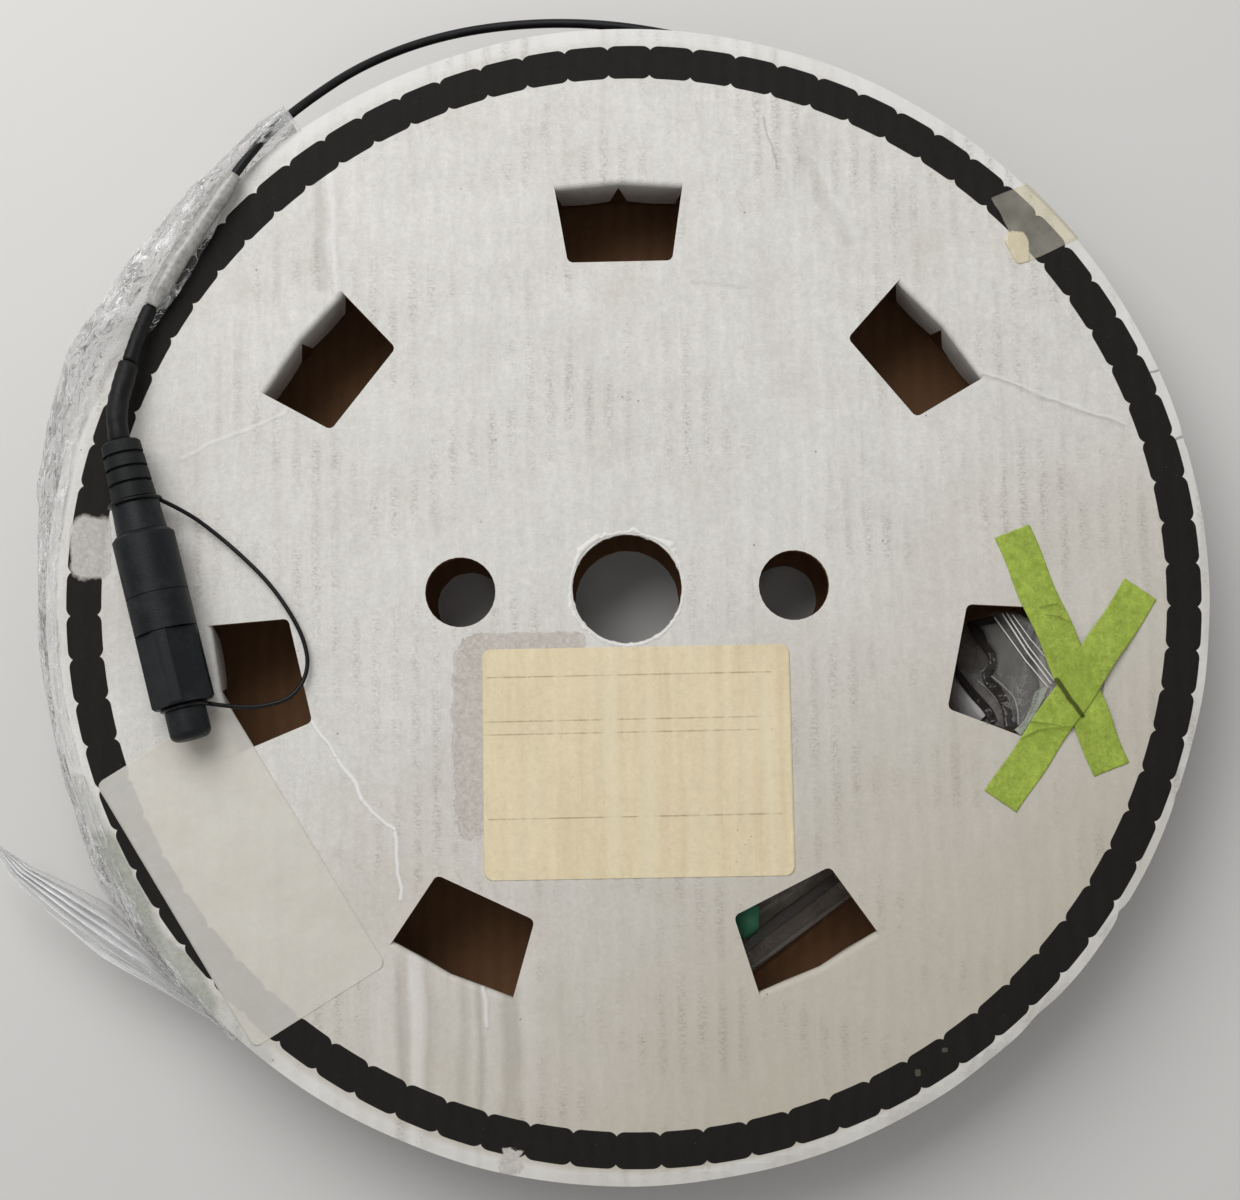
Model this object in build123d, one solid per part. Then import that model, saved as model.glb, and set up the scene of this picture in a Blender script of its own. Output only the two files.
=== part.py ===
from build123d import *
import math
import os

# Corrugated cardboard reel lying flat on its bottom flange, loaded with thin black cable.
# Millimetres, +Z up. The origin is the centre of the spindle hole on the bottom face.

# Corrugated board: white liner outside, brown liner inside
BOARD = 3.0
FOLD_BEND = 2.0

# Flange blank
FLANGE_D = 381.0
SPINDLE_D = 36.0
DRIVE_D = 23.0
DRIVE_SPACING = 109.0

# Windows in the blank, and the flaps cut from them
WINDOWS = 7
WINDOW_INNER_R = 111.0
FOLD_R = 139.4
WINDOW_HALF_ANGLE = 9.0
WINDOW_CORNER_R = 1.5
FLAP_DROP = 27.5
FLAP_LEAN = 7.5
FLAP_TAPER = 2.1
NOTCH_HALF = 3.0

# Core ring between the flanges
TRAVERSE = 38.1
CORE_FIT = 0.1
CORE_WALL = 3.0

# Cable and winding
CABLE_D = 3.1
WINDING_FIT = 0.1
LAYERS = 7
LAYER_STEP = 2.75
TURNS_PER_LAYER = 12
TURN_GROOVE = 0.8

# Sleeves on the cable tail, each with its length and outside diameter, and the gap between two of them
SLEEVE_FIT = 0.05
SLEEVE_GAP = 0.5
THICK_SLEEVE = (27.0, 7.0)
THIN_SLEEVE = (20.0, 5.0)
LABEL_SLEEVE = (52.0, 8.0)

# Plug on the tail, lying on the top flange. Stations are measured from the boot's small end.
PLUG_START = (-163.2, 49.9)
PLUG_TURN = -76.2
PLUG_LIFT = 0.3
BOOT_D = (12.6, 14.5)
BOOT_LENGTH = 19.4
BOOT_GROOVES = (4.6, 9.3, 14.3)
BOOT_GROOVE_WIDTH = 1.0
BOOT_GROOVE_DEPTH = 1.2
RING_SEAT = 1.8
NECK_D = (15.2, 16.2)
NECK_END = 30.6
NUT_D = 20.0
NUT_END = 63.6
NUT_CHAMFER = 1.2
SEAM_STATION = 51.5
SEAM_DEPTH = 0.3
SEAM_WIDTH = 0.5
SPIGOT_D = 10.0
NOSE_D = 13.0
NOSE_LENGTH = 12.0
RUNNING_GAP = 0.3
CAP_END = 87.8
CAP_FLATS = 16.6
CAP_EDGE = 0.8
TIP_D = 13.2
TIP_LENGTH = 9.6
TIP_ROUND = 2.6

# Tether between the plug's neck and the cap's tip
TETHER_D = 1.4
TETHER_RING = 1.1
TETHER_FIT = 0.2

# Labels and tapes on the top flange. The tapes' centres are in degrees and in from the rim.
LABEL_SIZE = (100.0, 74.5)
LABEL_CENTRE = (2.2, -56.4)
LABEL_TURN = -0.2
LABEL_CORNER_R = 3.0
SKIN = 0.15
CLEAR_SIZE = (49.5, 99.0)
CLEAR_CENTRE = (-126.3, -89.6)
CLEAR_TURN = 31.0
TAPE_SIZE = (12.3, 83.5)
UNDER_CENTRE = (-9.3, 47.9)
UNDER_TURN = 20.2
OVER_CENTRE = (-14.8, 42.3)
OVER_TURN = -35.6
RIM_TAPE_REACH = 22.5
RIM_TAPE_ANGLES = (37.0, 46.0)
RIM_TAPE_DROP = 8.0

# Stretch film round the rim: plan points of its outside and of its tail, in degrees and out from the rim
FILM_SKIN = 0.6
FILM_LOW = 4.0
FILM_LIFT = 0.3
FILM_SLACK = 1.5
FILM_WALL = (
    (124.0, 9.5),
    (131.0, 7.0),
    (141.0, 6.0),
    (150.0, 7.5),
    (156.0, 10.5),
    (163.0, 9.0),
    (170.0, 5.5),
    (178.0, 2.1),
    (190.0, 1.7),
    (200.0, 1.9),
    (207.0, 3.5),
    (228.0, 1.5),
)
FILM_LIP_WIDTH = 9.5
FILM_LIP_ANGLES = (176.0, 205.0)
FILM_TAIL = ((204.4, 2.8), (201.3, 38.1), (207.3, 30.0), (219.1, 13.2), (227.9, 2.1))
FILM_TAIL_Z = 18.0
FILM_TAIL_SKIN = 1.2

# Bag of small parts in the core, with its mouth out of the right window. Its plan is in degrees and in
# from the fold's radius.
BAG_FIT = 0.3
BAG_HEIGHT = 15.0
BAG_ROUND = 5.0
BAG_PLAN = ((-65.2, 53.6), (-15.4, 56.5), (-7.6, 18.4), (-23.1, 6.9), (-54.6, 11.9), (-71.3, 14.9))
BAG_PLAN_ROUND = 9.0
MOUTH_WIDTH = 30.0
MOUTH_SKIN = 0.4
MOUTH_TURN = -13.5
MOUTH_UNDER = 3.0
MOUTH_BEND = 8.4
MOUTH_OVER = 11.6

# What follows from the sizes above
FLANGE_R = FLANGE_D / 2
INNER_TOP = BOARD + TRAVERSE
TOP = INNER_TOP + BOARD
FLAP_OUT = (FLAP_DROP - BOARD) * math.tan(math.radians(FLAP_LEAN))
CORE_INNER_R = FOLD_R + FLAP_OUT + CORE_FIT
CORE_OUTER_R = CORE_INNER_R + CORE_WALL
WINDING_INNER_R = CORE_OUTER_R + WINDING_FIT
WINDING_OUTER_R = WINDING_INNER_R + CABLE_D + (LAYERS - 1) * LAYER_STEP
PLUG_Z = TOP + PLUG_LIFT + NUT_D / 2
MOUTH_Z = TOP + MOUTH_SKIN
MOUTH_INNER_R = WINDOW_INNER_R - MOUTH_UNDER
MOUTH_BEND_R = FOLD_R - MOUTH_BEND
MOUTH_OUTER_R = FOLD_R + MOUTH_OVER

# The tail's route: tangent to the winding, out between the flanges, round the rim and up onto the flange
TAIL_LEAVES = 45.0
TAIL_DROP = 19.5
TAIL_LEAD = 8.5
TAIL_RUN_R = WINDING_OUTER_R + CABLE_D / 2 + 0.1
TAIL_ROUTE = (
    (
        TAIL_RUN_R * math.cos(math.radians(TAIL_LEAVES)),
        TAIL_RUN_R * math.sin(math.radians(TAIL_LEAVES)),
        INNER_TOP - TAIL_DROP,
    ),
    (95.0, 141.6, 21.9),
    (72.5, 166.5, 21.3),
    (44.0, 191.0, 20.9),
    (9.0, 201.0, 20.0),
    (-25.0, 204.0, 19.6),
    (-58.0, 200.0, 21.0),
    (-86.0, 187.5, 27.5),
    (-106.0, 169.0, 38.5),
    (-119.5, 152.5, 47.6),
    (-132.5, 133.5, 48.9),
    (-149.5, 107.5, 49.0),
    (-158.5, 88.5, 49.6),
    (-163.0, 70.5, 52.2),
    (
        PLUG_START[0] - TAIL_LEAD * math.cos(math.radians(PLUG_TURN)),
        PLUG_START[1] - TAIL_LEAD * math.sin(math.radians(PLUG_TURN)),
        PLUG_Z,
    ),
    (PLUG_START[0], PLUG_START[1], PLUG_Z),
)

# The tether's route: from the ring round the neck, over the left window and back to the ring round the tip
TETHER_ROUTE = (
    (-151.65, 31.84, 51.9),
    (-143.4, 28.0, 48.0),
    (-134.0, 20.8, 46.3),
    (-125.5, 13.2, 46.0),
    (-117.0, 4.6, 46.0),
    (-110.0, -5.2, 46.0),
    (-105.0, -15.0, 46.1),
    (-103.6, -24.5, 46.4),
    (-108.2, -33.2, 47.2),
    (-117.5, -36.2, 48.6),
    (-127.0, -36.4, 50.4),
    (-136.25, -34.82, 52.2),
)


def polar(radius, degrees):
    """Plan point at a radius and an angle from +X."""
    angle = math.radians(degrees)
    return (radius * math.cos(angle), radius * math.sin(angle))


def half_flap():
    """Right half of the flap of the window at +Y, hanging from the inner face at z = 0 and leaning out."""
    corner = Vector(*polar(FOLD_R, 90 - WINDOW_HALF_ANGLE))
    apex = Vector(0, FOLD_R)
    along = (apex - corner).normalized()
    inward = Vector(-along.Y, along.X)
    length = (apex - corner).length
    section = make_face(
        Polyline(
            (0, BOARD),
            (0, 0),
            (-FLAP_OUT, -FLAP_DROP + BOARD),
            (BOARD - FLAP_OUT, -FLAP_DROP + BOARD),
            (BOARD, 0),
            (BOARD, BOARD),
            close=True,
        )
    )
    shoulder = section.vertices().sort_by(Axis.X)[-2:].sort_by(Axis.Y)[-1]
    section = fillet(shoulder, FOLD_BEND)
    profile_plane = Plane(origin=corner, x_dir=inward, z_dir=along)
    hook = extrude(profile_plane * section, length)
    outline = make_face(
        Polyline(
            (0, BOARD),
            (0, 0),
            (FLAP_TAPER, -FLAP_DROP + BOARD),
            (length - NOTCH_HALF, -FLAP_DROP + BOARD),
            (length, 0),
            (length, BOARD),
            close=True,
        )
    )
    outline_plane = Plane(origin=corner, x_dir=along, z_dir=along.cross(Vector(0, 0, 1)))
    return hook & extrude(outline_plane * outline, 2 * BOARD, both=True)


def flange_blank():
    """Die-cut board with its inner face at z = 0, outer face up, and its flaps folded down."""
    inner = [polar(WINDOW_INNER_R, 90 + side * WINDOW_HALF_ANGLE) for side in (-1, 1)]
    outer = [polar(FOLD_R, 90 + side * WINDOW_HALF_ANGLE) for side in (1, 0, -1)]
    window = make_face(Polyline(*inner, *outer, close=True))
    window = fillet(window.vertices().sort_by(Axis.Y)[:2], WINDOW_CORNER_R)
    plate = Circle(FLANGE_R) - Circle(SPINDLE_D / 2)
    for side in (-1, 1):
        plate -= Pos(side * DRIVE_SPACING / 2, 0) * Circle(DRIVE_D / 2)
    for index in range(WINDOWS):
        plate -= Rot(0, 0, index * 360 / WINDOWS) * window
    board = extrude(plate, BOARD)
    half = half_flap()
    flap = half + mirror(half, Plane.YZ)
    flaps = [Rot(0, 0, index * 360 / WINDOWS) * flap for index in range(WINDOWS)]
    return board.fuse(*[piece for one in flaps for piece in one.solids()]).clean()


def top_flange():
    return Pos(0, 0, INNER_TOP) * flange_blank()


def bottom_flange():
    """The same blank turned over about the line of its drive holes."""
    return Pos(0, 0, BOARD) * Rot(180, 0, 0) * flange_blank()


def core_ring():
    ring = Circle(CORE_OUTER_R) - Circle(CORE_INNER_R)
    return Pos(0, 0, BOARD) * extrude(ring, TRAVERSE)


def cable_winding():
    """Turned solid: each turn of the last layer is a rounded ridge between two grooves."""
    pitch = TRAVERSE / TURNS_PER_LAYER
    points = [(WINDING_INNER_R, 0), (WINDING_OUTER_R - TURN_GROOVE, 0)]
    for turn in range(TURNS_PER_LAYER):
        points.append((WINDING_OUTER_R, (turn + 0.5) * pitch))
        points.append((WINDING_OUTER_R - TURN_GROOVE, (turn + 1) * pitch))
    points.append((WINDING_INNER_R, TRAVERSE))
    profile = Plane.XZ * make_face(Polyline(*points, close=True))
    return Pos(0, 0, BOARD) * revolve(profile, Axis.Z)


def cord_path(route, name):
    """Straight runs joined by tangent arcs, each as large as its two runs allow."""
    points = [Vector(*point) for point in route]
    radii = []
    for before, here, after in zip(points, points[1:], points[2:]):
        first, second = here - before, after - here
        turn = math.radians(first.get_angle(second))
        radii.append(0.45 * min(first.length, second.length) / math.tan(turn / 2))
    path = FilletPolyline(*points, radius=radii)
    print(name, "arc radii", [round(radius, 1) for radius in radii], "length", round(path.length, 1))
    return path


def cord_tube(path, diameter):
    section = Plane(origin=path @ 0, z_dir=path % 0) * Circle(diameter / 2)
    return sweep(section, path=path)


def compare_volume(tube, path, diameter, name):
    expected = math.pi * diameter**2 / 4 * path.length
    print(name, "volume", round(tube.volume, 1), "section times length", round(expected, 1))


def sleeve(path, size, ahead):
    """Sleeve round the tail, behind the boot and the sleeves ahead of it."""
    length, diameter = size
    end = path.length - sum(one[0] for one in ahead) - SLEEVE_GAP * (len(ahead) + 1)
    stretch = path.trim((end - length) / path.length, end / path.length)
    plane = Plane(origin=stretch @ 0, z_dir=stretch % 0)
    ring = Circle(diameter / 2) - Circle(CABLE_D / 2 + SLEEVE_FIT)
    return sweep(plane * ring, path=stretch)


def on_plug(solid):
    """Places a piece turned about +X, with its station 0 at the boot's small end."""
    return Pos(*PLUG_START, PLUG_Z) * Rot(0, 0, PLUG_TURN) * solid


def turned(*points):
    """Solid turned about +X from station and radius points."""
    return revolve(make_face(Polyline(*points, close=True)), Axis.X)


def connector_boot():
    def radius(station):
        return (BOOT_D[0] + (BOOT_D[1] - BOOT_D[0]) * station / BOOT_LENGTH) / 2

    points = [(0, 0), (0, radius(0) - 0.6), (0.6, radius(0.6))]
    for groove in BOOT_GROOVES:
        low, high = groove - BOOT_GROOVE_WIDTH / 2, groove + BOOT_GROOVE_WIDTH / 2
        points += [(low, radius(low)), (low, radius(low) - BOOT_GROOVE_DEPTH)]
        points += [(high, radius(high) - BOOT_GROOVE_DEPTH), (high, radius(high))]
    points += [(BOOT_LENGTH, radius(BOOT_LENGTH)), (BOOT_LENGTH, 0)]
    return on_plug(turned(*points))


def connector_body():
    """Neck with the tether's ring seat, and the spigot that the coupling turns on."""
    seat_r = NECK_D[0] / 2 - TETHER_RING
    neck_from = BOOT_LENGTH + RING_SEAT
    spigot_end = NUT_END - 2.0
    return on_plug(
        turned(
            (BOOT_LENGTH, 0),
            (BOOT_LENGTH, seat_r),
            (neck_from, seat_r),
            (neck_from, NECK_D[0] / 2),
            (NECK_END, NECK_D[1] / 2),
            (NECK_END, SPIGOT_D / 2),
            (spigot_end, SPIGOT_D / 2),
            (spigot_end, 0),
        )
    )


def coupling_nut():
    start = NECK_END + RUNNING_GAP
    bore = SPIGOT_D / 2 + RUNNING_GAP
    seam_from = SEAM_STATION - SEAM_WIDTH / 2
    seam_to = SEAM_STATION + SEAM_WIDTH / 2
    return on_plug(
        turned(
            (start, bore),
            (start, NUT_D / 2 - NUT_CHAMFER),
            (start + NUT_CHAMFER, NUT_D / 2),
            (seam_from, NUT_D / 2),
            (seam_from, NUT_D / 2 - SEAM_DEPTH),
            (seam_to, NUT_D / 2 - SEAM_DEPTH),
            (seam_to, NUT_D / 2),
            (NUT_END, NUT_D / 2),
            (NUT_END, NOSE_D / 2),
            (NUT_END + NOSE_LENGTH, NOSE_D / 2),
            (NUT_END + NOSE_LENGTH, bore),
        )
    )


def dust_cap():
    """Round cap with four flats, a blind bore over the nose, and a rounded tip past the tether's ring."""
    start = NUT_END + RUNNING_GAP
    bore = NOSE_D / 2 + RUNNING_GAP
    bore_end = NUT_END + NOSE_LENGTH + 1.0
    seat_r = TIP_D / 2 - TETHER_RING
    tip_from = CAP_END + RING_SEAT
    tip_end = tip_from + TIP_LENGTH
    barrel = turned(
        (start, bore),
        (start, NUT_D / 2),
        (CAP_END - CAP_EDGE, NUT_D / 2),
        (CAP_END, NUT_D / 2 - CAP_EDGE),
        (CAP_END, 0),
        (bore_end, 0),
        (bore_end, bore),
    )
    flats = Pos((start + CAP_END) / 2, 0, 0) * Rot(45, 0, 0) * Box(CAP_END - start, CAP_FLATS, CAP_FLATS)
    seat = Pos(CAP_END, 0, 0) * Rot(0, 90, 0) * Cylinder(
        seat_r, RING_SEAT, align=(Align.CENTER, Align.CENTER, Align.MIN)
    )
    tip = Pos(tip_from, 0, 0) * Rot(0, 90, 0) * Cylinder(
        TIP_D / 2, tip_end - tip_from, align=(Align.CENTER, Align.CENTER, Align.MIN)
    )
    tip = fillet(tip.edges().sort_by(Axis.X)[-1], TIP_ROUND)
    return on_plug((barrel & flats) + seat + tip)


def tether_ring(station, seat_d):
    inner = seat_d / 2 - TETHER_RING + TETHER_FIT
    width = RING_SEAT - 2 * TETHER_FIT
    ring = extrude(Circle(inner + TETHER_RING + TETHER_FIT) - Circle(inner), width)
    return on_plug(Pos(station + TETHER_FIT, 0, 0) * Rot(0, 90, 0) * ring)


def cap_tether():
    path = cord_path(TETHER_ROUTE, "cap_tether")
    strap = cord_tube(path, TETHER_D)
    compare_volume(strap, path, TETHER_D, "cap_tether")
    return strap + tether_ring(BOOT_LENGTH, NECK_D[0]) + tether_ring(CAP_END, TIP_D)


def skin_piece(size, centre, turn, low, corner=0.0):
    """Thin flat piece lying on the top flange."""
    face = RectangleRounded(*size, corner) if corner else Rectangle(*size)
    return Pos(*centre, low) * Rot(0, 0, turn) * extrude(face, SKIN)


def tape_strip(centre, turn, low):
    angle, inset = centre
    return skin_piece(TAPE_SIZE, polar(FLANGE_R - inset, angle), turn, low)


def sector(inner, outer, angles):
    """Plan face between two radii and two angles."""
    start, end = angles
    middle = (start + end) / 2
    outline = [
        ThreePointArc(polar(outer, start), polar(outer, middle), polar(outer, end)),
        Line(polar(outer, end), polar(inner, end)),
        ThreePointArc(polar(inner, end), polar(inner, middle), polar(inner, start)),
        Line(polar(inner, start), polar(outer, start)),
    ]
    return make_face(outline)


def rim_tape():
    """Tape folded over the rim: a patch on the flange and a lip down the edge."""
    patch_face = sector(FLANGE_R - RIM_TAPE_REACH, FLANGE_R + SKIN, RIM_TAPE_ANGLES)
    patch = Pos(0, 0, TOP) * extrude(patch_face, SKIN)
    lip_face = sector(FLANGE_R, FLANGE_R + SKIN, RIM_TAPE_ANGLES)
    lip = Pos(0, 0, TOP - RIM_TAPE_DROP) * extrude(lip_face, RIM_TAPE_DROP)
    return patch + lip


def stretch_film():
    """Film wall round the rim, its lip on the flange, and its loose tail."""
    outside = [polar(FLANGE_R + out, angle) for angle, out in FILM_WALL]
    inside = [polar(FLANGE_R + out - FILM_SKIN, angle) for angle, out in reversed(FILM_WALL)]
    outline = [
        Spline(*outside),
        Line(outside[-1], inside[0]),
        Spline(*inside),
        Line(inside[-1], outside[0]),
    ]
    wall = Pos(0, 0, FILM_LOW) * extrude(make_face(outline), TOP + FILM_LIFT + FILM_SKIN - FILM_LOW)
    lip_face = sector(FLANGE_R - FILM_LIP_WIDTH, FLANGE_R + FILM_SLACK, FILM_LIP_ANGLES)
    lip = Pos(0, 0, TOP + FILM_LIFT) * extrude(lip_face, FILM_SKIN)
    tail_plan = [polar(FLANGE_R + out, angle) for angle, out in FILM_TAIL]
    tail = Pos(0, 0, FILM_TAIL_Z) * extrude(make_face(Polyline(*tail_plan, close=True)), FILM_TAIL_SKIN)
    return wall + lip + tail


def parts_bag():
    """Filled bag on the bottom flange, and its flat mouth up through the window."""
    floor = BOARD + BAG_FIT
    plan = make_face(Polyline(*[polar(FOLD_R - inset, angle) for angle, inset in BAG_PLAN], close=True))
    plan = fillet(plan.vertices(), BAG_PLAN_ROUND)
    body = Pos(0, 0, floor) * extrude(plan, BAG_HEIGHT)
    body = fillet(body.faces().sort_by(Axis.Z)[-1].edges(), BAG_ROUND)
    middle = floor + BAG_HEIGHT / 2
    mouth = make_face(
        Polyline(
            (MOUTH_INNER_R, middle),
            (MOUTH_BEND_R, MOUTH_Z),
            (MOUTH_OUTER_R, MOUTH_Z),
            (MOUTH_OUTER_R, TOP),
            (MOUTH_BEND_R + MOUTH_SKIN, TOP),
            (MOUTH_INNER_R + MOUTH_SKIN, middle - MOUTH_SKIN),
            close=True,
        )
    )
    mouth = Rot(0, 0, MOUTH_TURN) * extrude(Plane.XZ * mouth, MOUTH_WIDTH / 2, both=True)
    return body + mouth


def build():
    tail_path = cord_path(TAIL_ROUTE, "cable_tail")
    tail = cord_tube(tail_path, CABLE_D)
    compare_volume(tail, tail_path, CABLE_D, "cable_tail")
    return {
        "top_flange": top_flange(),
        "bottom_flange": bottom_flange(),
        "core_ring": core_ring(),
        "cable_winding": cable_winding(),
        "cable_tail": tail,
        "label_sleeve": sleeve(tail_path, LABEL_SLEEVE, (THICK_SLEEVE, THIN_SLEEVE)),
        "thin_sleeve": sleeve(tail_path, THIN_SLEEVE, (THICK_SLEEVE,)),
        "thick_sleeve": sleeve(tail_path, THICK_SLEEVE, ()),
        "connector_boot": connector_boot(),
        "connector_body": connector_body(),
        "coupling_nut": coupling_nut(),
        "dust_cap": dust_cap(),
        "cap_tether": cap_tether(),
        "paper_label": skin_piece(LABEL_SIZE, LABEL_CENTRE, LABEL_TURN, TOP, LABEL_CORNER_R),
        "clear_label": skin_piece(CLEAR_SIZE, CLEAR_CENTRE, CLEAR_TURN, TOP, LABEL_CORNER_R),
        "tape_strip_under": tape_strip(UNDER_CENTRE, UNDER_TURN, MOUTH_Z),
        "tape_strip_over": tape_strip(OVER_CENTRE, OVER_TURN, MOUTH_Z + SKIN),
        "rim_tape": rim_tape(),
        "stretch_film": stretch_film(),
        "parts_bag": parts_bag(),
    }


os.makedirs("parts", exist_ok=True)
for name, solid in build().items():
    export_step(solid, os.path.join("parts", name + ".step"))
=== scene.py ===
import math

import bpy
import numpy as np
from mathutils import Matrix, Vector, noise
from mathutils.geometry import delaunay_2d_cdt


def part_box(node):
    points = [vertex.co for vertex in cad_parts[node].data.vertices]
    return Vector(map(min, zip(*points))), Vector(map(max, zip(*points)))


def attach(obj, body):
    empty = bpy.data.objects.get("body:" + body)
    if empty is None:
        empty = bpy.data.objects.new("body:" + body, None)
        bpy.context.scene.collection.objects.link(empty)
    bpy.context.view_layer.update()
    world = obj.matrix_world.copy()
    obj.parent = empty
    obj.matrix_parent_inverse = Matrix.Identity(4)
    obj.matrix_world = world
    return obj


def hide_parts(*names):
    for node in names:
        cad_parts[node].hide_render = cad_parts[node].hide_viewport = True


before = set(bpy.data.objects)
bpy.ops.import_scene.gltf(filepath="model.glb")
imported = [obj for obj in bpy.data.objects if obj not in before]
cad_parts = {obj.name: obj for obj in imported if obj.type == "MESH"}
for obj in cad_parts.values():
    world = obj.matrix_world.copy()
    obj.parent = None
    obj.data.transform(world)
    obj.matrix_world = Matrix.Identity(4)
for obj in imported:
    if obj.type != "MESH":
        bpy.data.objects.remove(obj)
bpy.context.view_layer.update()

# Studio: a pale floor, an even room and one broad lamp at the upper left, and the camera close above
# the reel, where the photograph was taken. Sizes in this file are millimetres unless a name says m.
MM = 0.001
CAMERA_AT = (-1.47, -67.93, 644.1)
CAMERA_TURN = (6.108, 0.218, -1.213)
CAMERA_LENS = 53.67
FLOOR_HALF = 4000
FLOOR_COLOR = (0.78, 0.77, 0.75)
FLOOR_Z = -0.1
ROOM_LIGHT = 0.36
LAMP_AT = (-380, 620, 980)
LAMP_SIZE_M = 0.9
LAMP_WATTS = 9.2


def add_node(tree, kind, inputs=None, **settings):
    """New node: an input given a socket is linked to it, and any other takes the value."""
    made = tree.nodes.new(kind)
    for key, value in settings.items():
        setattr(made, key, value)
    for key, value in (inputs or {}).items():
        if isinstance(value, bpy.types.NodeSocket):
            tree.links.new(value, made.inputs[key])
        else:
            made.inputs[key].default_value = value
    return made


def add(tree, kind, inputs=None, **settings):
    """New shader node, by the short name of its kind."""
    return add_node(tree, "ShaderNode" + kind, inputs, **settings)


def new_finish(name, color, roughness, **shader_values):
    """Material with a Principled shader: itself, its tree, its shader and its Object coordinates."""
    made = bpy.data.materials.new(name)
    made.use_nodes = True
    tree = made.node_tree
    shader = tree.nodes["Principled BSDF"]
    shader.inputs["Base Color"].default_value = (*color, 1)
    shader.inputs["Roughness"].default_value = roughness
    for key, value in shader_values.items():
        shader.inputs[key.replace("_", " ")].default_value = value
    coords = add(tree, "TexCoord").outputs["Object"]
    return made, tree, shader, coords


def new_piece(name, vertices, faces, material, smooth=True):
    """Mesh object at the origin from vertices in millimetres."""
    mesh = bpy.data.meshes.new(name)
    mesh.from_pydata(
        (np.asarray(vertices, float) * MM).tolist(), [], [tuple(map(int, face)) for face in faces]
    )
    mesh.validate()
    for one in material if isinstance(material, (list, tuple)) else [material]:
        mesh.materials.append(one)
    mesh.polygons.foreach_set("use_smooth", [smooth] * len(mesh.polygons))
    made = bpy.data.objects.new(name, mesh)
    bpy.context.scene.collection.objects.link(made)
    return made


scene = bpy.context.scene
scene.view_settings.view_transform = "Standard"

camera_data = bpy.data.cameras.new("camera")
camera_data.sensor_fit = "HORIZONTAL"
camera_data.sensor_width = 36
camera_data.lens = CAMERA_LENS
camera = bpy.data.objects.new("camera", camera_data)
camera.location = [value * MM for value in CAMERA_AT]
camera.rotation_euler = [math.radians(value) for value in CAMERA_TURN]
scene.collection.objects.link(camera)
scene.camera = camera

corners = [(x * FLOOR_HALF, y * FLOOR_HALF, FLOOR_Z) for x, y in ((-1, -1), (1, -1), (1, 1), (-1, 1))]
floor_finish = new_finish("floor_finish", FLOOR_COLOR, 0.9)[0]
floor = new_piece("floor", corners, [(0, 1, 2, 3)], floor_finish, smooth=False)

world = bpy.data.worlds.new("room")
world.use_nodes = True
world.node_tree.nodes["Background"].inputs["Color"].default_value = (1, 1, 1, 1)
world.node_tree.nodes["Background"].inputs["Strength"].default_value = ROOM_LIGHT
scene.world = world

lamp_data = bpy.data.lights.new("lamp", "AREA")
lamp_data.size = LAMP_SIZE_M
lamp_data.energy = LAMP_WATTS
lamp = bpy.data.objects.new("lamp", lamp_data)
lamp.location = [value * MM for value in LAMP_AT]
lamp.rotation_euler = (-lamp.location).to_track_quat("-Z", "Y").to_euler()
scene.collection.objects.link(lamp)

# Cable tail: the free end of the thin black drop cable. It leaves the winding between the flanges,
# runs round outside the rim, climbs onto the top flange and ends in the moulded plug.
CABLE_D = 3.1
PLUG_START = (-163.2, 49.9)
PLUG_TURN = math.radians(-76.2)
PLUG_Z = 54.4
TAIL_LEAD = 8.5
TAIL_LEAVES_R = 167.08
TAIL_LEAVES_TURN = math.radians(45)
TAIL_ROUTE = [
    (TAIL_LEAVES_R * math.cos(TAIL_LEAVES_TURN), TAIL_LEAVES_R * math.sin(TAIL_LEAVES_TURN), 21.6),
    (95.0, 141.6, 21.9),
    (72.5, 166.5, 21.3),
    (44.0, 191.0, 20.9),
    (9.0, 201.0, 20.0),
    (-25.0, 204.0, 19.6),
    (-58.0, 200.0, 21.0),
    (-86.0, 187.5, 27.5),
    (-106.0, 169.0, 38.5),
    (-119.5, 152.5, 47.6),
    (-132.5, 133.5, 48.9),
    (-149.5, 107.5, 49.0),
    (-158.5, 88.5, 49.6),
    (-163.0, 70.5, 52.2),
    (
        PLUG_START[0] - TAIL_LEAD * math.cos(PLUG_TURN),
        PLUG_START[1] - TAIL_LEAD * math.sin(PLUG_TURN),
        PLUG_Z,
    ),
    (*PLUG_START, PLUG_Z),
]


def cloud_noise(tree, vector, scale, detail, roughness=0.5, distortion=0.0):
    """Noise as one number about 0.5."""
    inputs = {
        "Vector": vector,
        "Scale": scale,
        "Detail": detail,
        "Roughness": roughness,
        "Distortion": distortion,
    }
    return add(tree, "TexNoise", inputs).outputs["Fac"]


def remap(tree, value, low, high, top=1.0, bottom=0.0, **settings):
    """A value's run from low to high, stretched to run from bottom to top and held at both ends."""
    limits = {"Value": value, "From Min": low, "From Max": high, "To Min": bottom, "To Max": top}
    return add(tree, "MapRange", limits, **settings).outputs[0]


def bumped(tree, height, distance, strength=1.0):
    """Normal from a height."""
    return add(
        tree, "Bump", {"Height": height, "Distance": distance, "Strength": strength}
    ).outputs["Normal"]


def noise_bump(tree, vector, scale, distance, strength=1.0):
    """Normal from fine noise."""
    return bumped(tree, cloud_noise(tree, vector, scale, 3), distance, strength)


def two_tones(tree, value, low, dark, high, pale):
    """Colour that goes from dark at one value to pale at another."""
    ramp = add(tree, "ValToRGB", {"Fac": value})
    for stop, place, color in zip(ramp.color_ramp.elements, (low, high), (dark, pale)):
        stop.position = place
        stop.color = (*color, 1)
    return ramp.outputs["Color"]


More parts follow.
